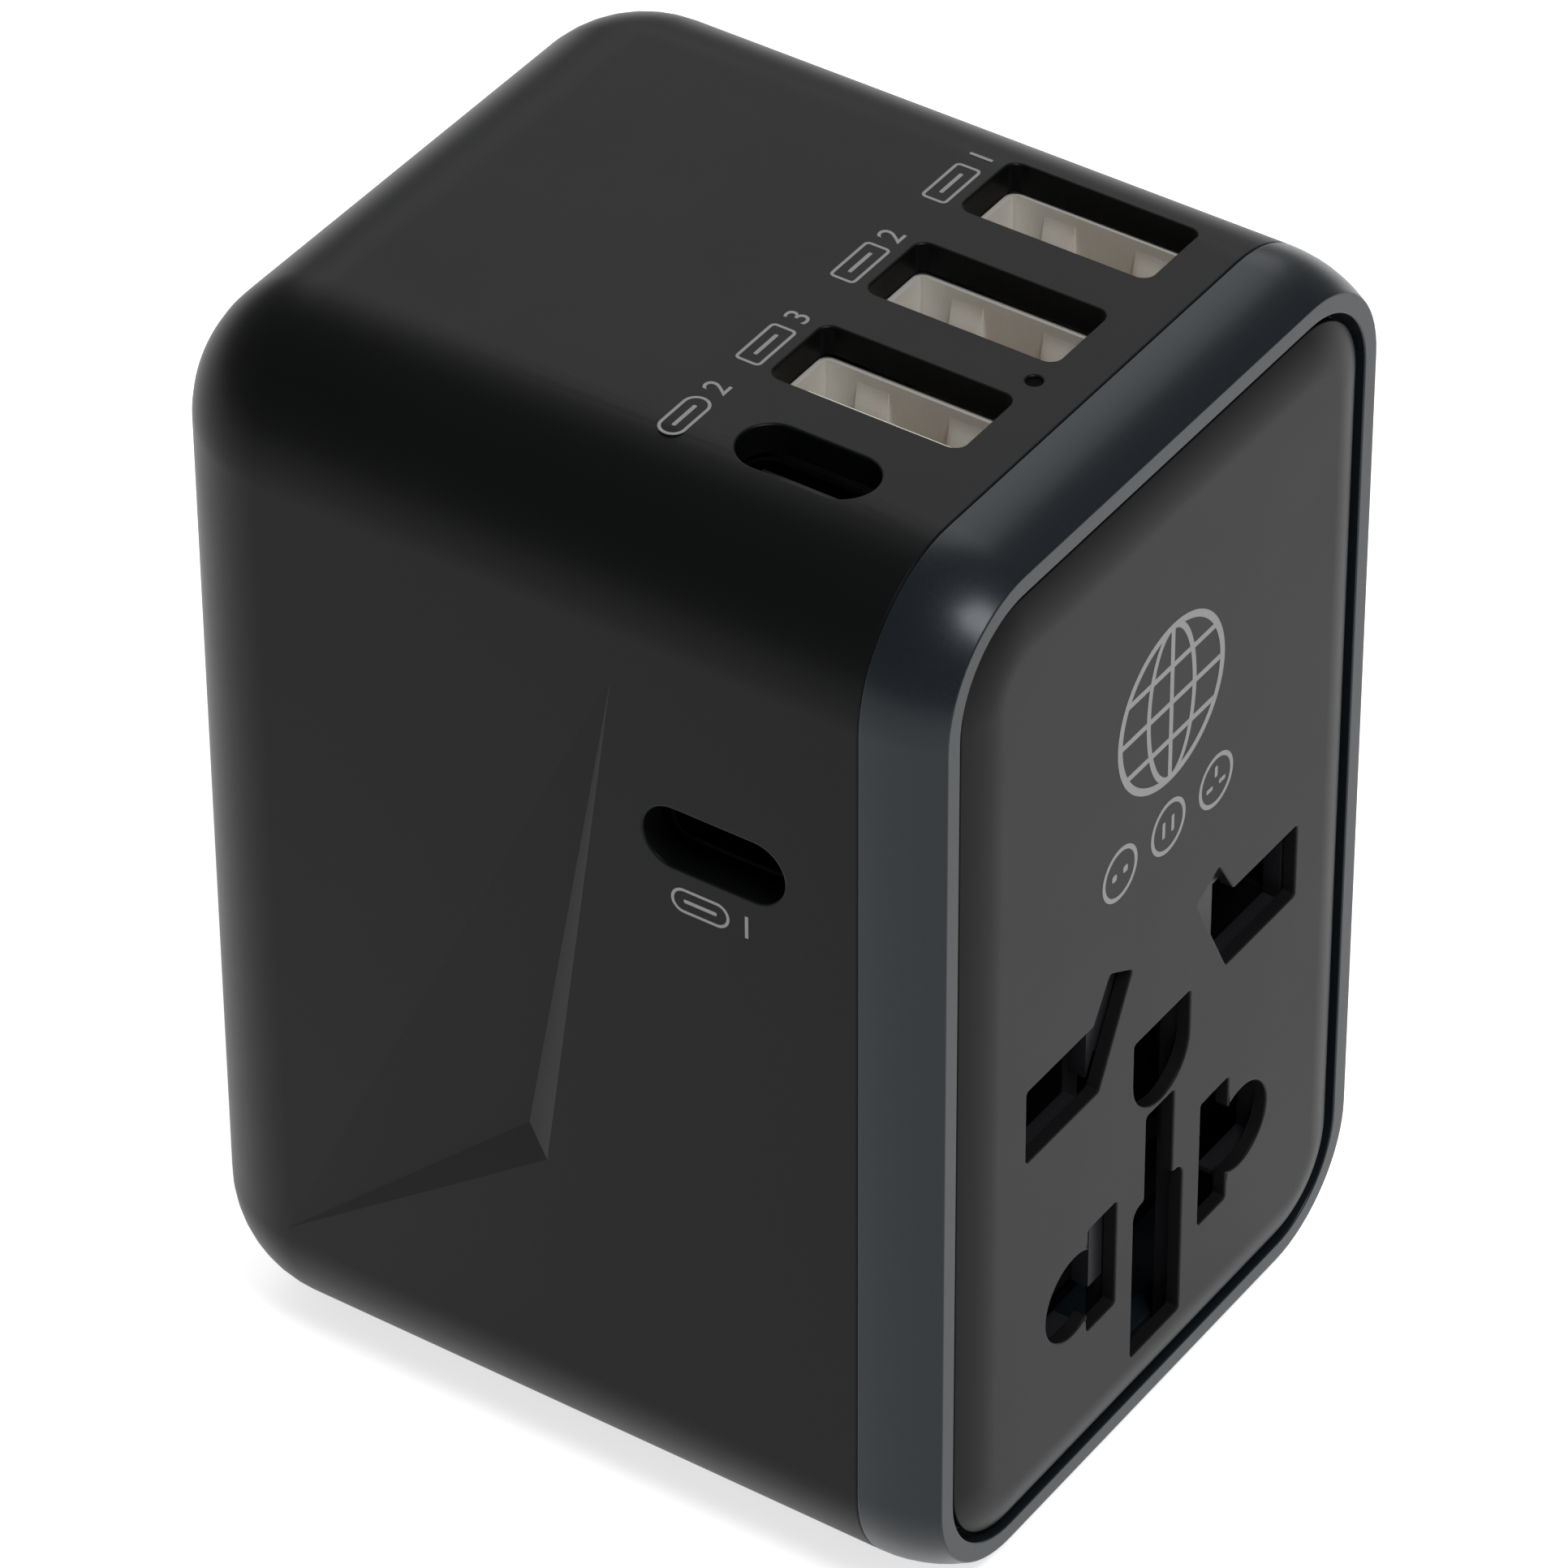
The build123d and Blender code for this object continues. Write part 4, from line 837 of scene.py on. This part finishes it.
def plate_parts(settings):
    """Face plate: a flat front with the socket pattern, a soft edge, a side wall and a pocket behind.

    The soft edge is one arc, tangent to the front, that falls by drop over its width roll."""
    case, socket = settings.case, settings.socket
    inset = case.lip_inset + case.lip_width + socket.gap
    front, edge = PLATE_Y - LIP_Y, 0.12 * MM
    radius = (socket.roll ** 2 + socket.drop ** 2) / (2 * socket.drop)
    angle = np.linspace(0, math.asin(socket.roll / radius) * 0.985, 9)
    start = inset + socket.roll
    soft = np.stack([front + radius * (1 - np.cos(angle)), start - radius * np.sin(angle)], axis=1)
    fallen = front + socket.drop
    rows = [*soft, (fallen + 0.03 * MM, inset + 0.01 * MM), (fallen + edge, inset), (PLATE_BACK, inset)]
    slots = socket_slots()
    outer, back = lip_loop(front, inset + socket.roll, case), lip_loop(PLATE_BACK, inset, case)
    pocket = rounded(rectangle((0, 30.65 * MM), 32.6 * MM, 52.7 * MM), 0.5 * MM, 4)
    rim_depth, skin = PLATE_BACK - front, socket.skin
    parts = [sheet(FRONT, [outer[:, (0, 2)]], [points + edge * out for points, out in slots]),
             loft([lip_loop(y, draw, case) for y, draw in rows]),
             sheet(FRONT, [back[:, (0, 2)]], [pocket[0]], rim_depth),
             tube(FRONT, pocket, [(0, rim_depth), (0, skin)]),
             sheet(FRONT, [pocket[0]], [points for points, _ in slots], skin)]
    parts += [tube(FRONT, slot, [*round_ramp(edge), (0, skin)]) for slot in slots]
    for x in (-18.0, 18.0):
        for z in (7.6, 36.4):
            boss = capsule((x * MM, z * MM), 3.0 * MM, 3.0 * MM)
            parts.append(band(FRONT, boss, 2.45 * MM, 8.35 * MM, 0.55 * MM))
    stop = rounded(rectangle((0, 56.75 * MM), 5.0 * MM, 1.3 * MM), 0.2 * MM, 4)
    return parts + bar(FRONT, stop, 7.0 * MM, 0.8 * MM, 0.1 * MM)


class ADAPTER_OT_face_plate(bpy.types.Operator):
    """Build the face plate with its socket pattern"""
    bl_idname = "adapter.face_plate"
    bl_label = "Face plate"

    def execute(self, context):
        build("face_plate", plate_parts(context.scene.adapter), finish("face_plastic"), replaces=["socket_plate"],
              crisp=12)
        return {"FINISHED"}


# Printed marks

def stroke(side, outline, width, film=INK_FILM):
    """Ring of ink along an outline: a thin closed ribbon, half its width to each side."""
    half = width / 2
    return tube(side, outline, [(-half, INK_ROOT), (-half, -film), (half, -film), (half, INK_ROOT),
                                (-half, INK_ROOT)])


def ink_bar(side, centre, width, height, film=INK_FILM):
    """Bar of ink with round corners."""
    outline = rounded(rectangle(centre, width, height), 0.3 * min(width, height), 4)
    return [sheet(side, [outline[0]], depth=-film), tube(side, outline, [(0, -film), (0, INK_ROOT)]),
            sheet(side, [outline[0]], depth=INK_ROOT)]


def numeral(side, figure, centre, height, direction=1):
    """A figure of the built-in font as a thin solid, scaled to a height; direction -1 reads along -u."""
    curve = bpy.data.curves.new(f"figure_{figure}", "FONT")
    curve.body, curve.extrude, curve.resolution_u = figure, 0.01, 6
    text = bpy.data.objects.new(curve.name, curve)
    bpy.context.scene.collection.objects.link(text)
    bpy.context.view_layer.update()
    mesh = bpy.data.meshes.new_from_object(text.evaluated_get(bpy.context.evaluated_depsgraph_get()))
    mesh.calc_loop_triangles()
    points = np.empty(3 * len(mesh.vertices))
    mesh.vertices.foreach_get("co", points)
    faces = np.empty(3 * len(mesh.loop_triangles), int)
    mesh.loop_triangles.foreach_get("vertices", faces)
    points = points.reshape(-1, 3)
    low, high = points.min(0), points.max(0)
    flat = (points[:, :2] - (low + high)[:2] / 2) * height / (high - low)[1] * (direction, 1) + centre
    depth = np.where(points[:, 2] > 0, -INK_FILM, INK_ROOT)[:, None]
    bpy.data.objects.remove(text)
    bpy.data.curves.remove(curve)
    bpy.data.meshes.remove(mesh)
    return place(side, flat) + depth * side.inward, faces.reshape(-1, 3)


def port_label(side, centre, figure, round_port, direction=1):
    """Outline of the port with its tongue inside, and the port's number beside it."""
    u, v = centre
    height, width = 1.6 * MM, 3.9 * MM
    middle = (u - direction * 0.95 * MM, v)
    outline = (capsule(middle, width, height) if round_port
               else rounded(rectangle(middle, width, height), 0.25 * MM, 4))
    return [stroke(side, outline, 0.2 * MM),
            *ink_bar(side, middle, 2.3 * MM, 0.26 * MM),
            numeral(side, figure, (u + direction * 2.3 * MM, v), height, direction)]


def ellipse(centre, half_width, half_height):
    """Ellipse as (a cos t, b sin t), with its outward normals (cos t / a, sin t / b) made unit."""
    t = np.linspace(0, 2 * math.pi, 72, endpoint=False)
    ring = np.stack([np.cos(t), np.sin(t)], axis=1)
    normals = ring / (half_width, half_height)
    return centre + ring * (half_width, half_height), normals / np.linalg.norm(normals, axis=1, keepdims=True)


def emblem_parts():
    """Plain globe of two rings and straight lines."""
    radius, centre, line = 5.6 * MM, np.array([0, 56.3 * MM]), 0.42 * MM
    parts = [stroke(FRONT, ellipse(centre, radius, radius), 0.5 * MM, 1.3 * INK_FILM),
             stroke(FRONT, ellipse(centre, 2.5 * MM, radius), line, 1.1 * INK_FILM),
             *ink_bar(FRONT, centre, line, 2 * radius, 0.9 * INK_FILM)]
    for height in (-2.7 * MM, 0, 2.7 * MM):
        half = math.sqrt(radius ** 2 - height ** 2)
        parts += ink_bar(FRONT, centre + (0, height), 2 * half, line, 0.7 * INK_FILM)
    return parts


def pattern_marks():
    """Row of three marks, each a ring round a plug's pins: two round, two flat and three flat ones."""
    pins = [[(-0.6, 0, 0.5, 0.5), (0.6, 0, 0.5, 0.5)],
            [(-0.5, 0, 0.3, 1.2), (0.5, 0, 0.3, 1.2)],
            [(-0.7, -0.35, 0.7, 0.32), (0.7, -0.35, 0.7, 0.32), (0, 0.65, 0.32, 0.8)]]
    parts = []
    for x, shapes in zip((-5.3, 0.0, 5.3), pins):
        centre = np.array([x, 47.0]) * MM
        parts.append(stroke(FRONT, ellipse(centre, 1.75 * MM, 1.75 * MM), 0.32 * MM))
        for u, v, width, height in shapes:
            parts += ink_bar(FRONT, centre + np.array([u, v]) * MM, width * MM, height * MM)
    return parts


class ADAPTER_OT_prints(bpy.types.Operator):
    """Print the port marks and the plain emblem"""
    bl_idname = "adapter.prints"
    bl_label = "Printed marks"

    def execute(self, context):
        row = LIP_Y + 23.5 * MM
        labels = [port_label(TOP, (x * MM, row), figure, figure == "2" and x < -10)
                  for x, figure in ((13.8, "1"), (4.1, "2"), (-5.7, "3"), (-14.0, "2"))]
        labels.append(port_label(LEFT, (LIP_Y + 15.2 * MM, 49.9 * MM), "1", True, direction=-1))
        build("port_marks", [part for label in labels for part in label], finish(INK))
        build("emblem_and_plug_marks", emblem_parts() + pattern_marks(), finish(INK))
        return {"FINISHED"}


# USB ports

def finger(shell_low, shell_high, step):
    """Sprung finger on the shell's right wall: it bulges inwards by 0.5 mm as a cosine hump along its length,
    and its long edges turn back to the wall."""
    wall, top = shell_high.x - STEEL, shell_high.z
    middle = (shell_low.y + shell_high.y) / 2 + step * MM
    rows, across = np.linspace(0, 1, 15), np.array([-1, -1, -0.9, -0.6, 0, 0.6, 0.9, 1, 1.0])
    crown = np.array([-0.4, 0.6, 0.85, 0.97, 1, 0.97, 0.85, 0.6, -0.4])

    def shape(t, column):
        index = column.astype(int)
        hump = FINGER_RISE / 2 * (1 - np.cos(2 * math.pi * t))
        return (wall - hump * crown[index] - 0.03 * MM * np.sign(crown[index]),
                middle + 1.1 * MM * across[index], top - 0.7 * MM - 4.4 * MM * t)
    return grid(rows, np.arange(9.0), shape)


def usb_a_parts(node):
    """Folded steel tube with two sprung fingers."""
    low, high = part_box(node)
    centre = (low.x + high.x) / 2, (low.y + high.y) / 2
    outline = rounded(rectangle(centre, high.x - low.x, high.y - low.y), 0.55 * MM)
    shell = band(TOP, outline, HEIGHT - high.z, HEIGHT - low.z, STEEL)
    return [shell] + [finger(low, high, step) for step in (-3.2, 3.2)]


def tongue_parts(shell, node):
    """Tongue with softened edges on a foot that fills the shell, and its four contacts."""
    low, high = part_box(node)
    centre = np.array(node_centre(shell, 0, 1))
    left, right = centre[0] - 1.95 * MM, centre[0] - 0.15 * MM
    blade = rounded(rectangle(((left + right) / 2, centre[1]), right - left, 11.8 * MM), 0.35 * MM, 5)
    foot = rounded(rectangle(centre, 5.66 * MM, 12.86 * MM), 0.4 * MM, 4)
    top, shelf, bottom = (HEIGHT - z for z in (high.z, 61.0 * MM, low.z))
    insulator = bar(TOP, blade, top, shelf + 0.1 * MM, 0.3 * MM) + bar(TOP, foot, shelf, bottom, 0.1 * MM)
    contacts = []
    for step in (-3.5, -1.0, 1.0, 3.5):
        strip = rounded(rectangle((right + 0.05 * MM, centre[1] + step * MM), 0.2 * MM, 1.0 * MM), 0.08 * MM, 3)
        contacts += bar(TOP, strip, top + 1.0 * MM, shelf, 0.05 * MM)
    return insulator, contacts


class ADAPTER_OT_usb_a(bpy.types.Operator):
    """Build the three USB-A receptacles"""
    bl_idname = "adapter.usb_a"
    bl_label = "USB-A ports"

    def execute(self, context):
        for name in USB_A:
            shell, tongue = f"{name}_shell", f"{name}_tongue"
            build(f"{name}_steel", usb_a_parts(shell), finish("shell_steel"), replaces=[shell])
            insulator, contacts = tongue_parts(shell, tongue)
            build(f"{name}_insulator", insulator, finish("tongue_plastic"), replaces=[tongue])
            build(f"{name}_contacts", contacts, finish(GOLD))
        return {"FINISHED"}


# Stage

def lamp(name, size, power, position, aim):
    """Soft square light that faces a point."""
    light = bpy.data.lights.new(name, "AREA")
    light.shape, light.size, light.energy = "SQUARE", size, power
    holder = bpy.data.objects.new(name, light)
    holder.location = position
    holder.rotation_mode = "QUATERNION"
    holder.rotation_quaternion = (Vector(aim) - Vector(position)).to_track_quat("-Z", "Y")
    holder.visible_camera = False
    bpy.context.scene.collection.objects.link(holder)


class ADAPTER_OT_stage(bpy.types.Operator):
    """Set the floor, the lights and the camera"""
    bl_idname = "adapter.stage"
    bl_label = "Stage"

    def execute(self, context):
        scene, stage = context.scene, context.scene.adapter.stage
        scene.view_settings.view_transform = "Standard"
        scene.view_settings.look = "None"

        floor_mesh = bpy.data.meshes.new("floor")
        half, under = 4.0, -0.02 * MM
        floor_mesh.from_pydata([(-half, -half, under), (half, -half, under), (half, half, under),
                                (-half, half, under)], [], [(0, 1, 2, 3)])
        floor = bpy.data.objects.new("floor", floor_mesh)
        scene.collection.objects.link(floor)
        material, _, _ = surface("white_acrylic_backlit", Base_Color=stage.floor_colour, Roughness=0.55,
                                 Emission_Color=(1, 1, 1, 1), Emission_Strength=stage.floor_glow)
        floor_mesh.materials.append(material)

        aim = Vector(stage.aim)
        lamp("back_softbox", 1.1, stage.back_power, aim + 1.5 * Vector((0.646, 0.44, 0.624)), aim)
        lamp("key_softbox", 0.28, stage.key_power, aim + 0.8 * Vector((-0.2, -0.45, 0.87)), aim)

        world = bpy.data.worlds.new("studio")
        world.use_nodes = True
        world.node_tree.nodes["Background"].inputs["Color"].default_value = (1, 1, 1, 1)
        world.node_tree.nodes["Background"].inputs["Strength"].default_value = stage.room_glow
        scene.world = world

        back = Vector((math.sin(stage.azimuth) * math.cos(stage.elevation),
                       -math.cos(stage.azimuth) * math.cos(stage.elevation), math.sin(stage.elevation)))
        turned = (-back).to_track_quat("-Z", "Y") @ Quaternion((0, 0, 1), -stage.roll)
        camera = bpy.data.objects.new("camera", bpy.data.cameras.new("camera"))
        camera.data.lens, camera.data.sensor_width = stage.lens, 36.0
        camera.data.clip_start, camera.data.clip_end = 0.01, 20.0
        camera.location = aim + back * stage.distance
        camera.rotation_mode = "QUATERNION"
        camera.rotation_quaternion = turned
        scene.collection.objects.link(camera)
        scene.camera = camera
        return {"FINISHED"}


# Panel and registration

OPERATORS = (ADAPTER_OT_finishes, ADAPTER_OT_case, ADAPTER_OT_bezel, ADAPTER_OT_face_plate,
             ADAPTER_OT_plug_face, ADAPTER_OT_prints, ADAPTER_OT_usb_a, ADAPTER_OT_stage)


class ADAPTER_PT_panel(bpy.types.Panel):
    """Travel adapter's pieces and their sizes"""
    bl_idname = "ADAPTER_PT_panel"
    bl_label = "Travel adapter"
    bl_space_type = "VIEW_3D"
    bl_region_type = "UI"
    bl_category = "Adapter"

    def draw(self, context):
        for operator in OPERATORS:
            self.layout.operator(operator.bl_idname)
        for group in ("case", "socket", "ports", "stage"):
            box = self.layout.box()
            settings = getattr(context.scene.adapter, group)
            for name in settings.bl_rna.properties.keys():
                if name not in ("rna_type", "name"):
                    box.prop(settings, name)


CLASSES = (CaseSettings, SocketSettings, PortSettings, StageSettings, AdapterSettings, *OPERATORS,
           ADAPTER_PT_panel)


def register():
    for item in CLASSES:
        bpy.utils.register_class(item)
    bpy.types.Scene.adapter = PointerProperty(type=AdapterSettings)


def unregister():
    del bpy.types.Scene.adapter
    for item in reversed(CLASSES):
        bpy.utils.unregister_class(item)


def main():
    register()
    for operator in OPERATORS:
        group, name = operator.bl_idname.split(".")
        getattr(getattr(bpy.ops, group), name)()


if __name__ == "__main__":
    main()
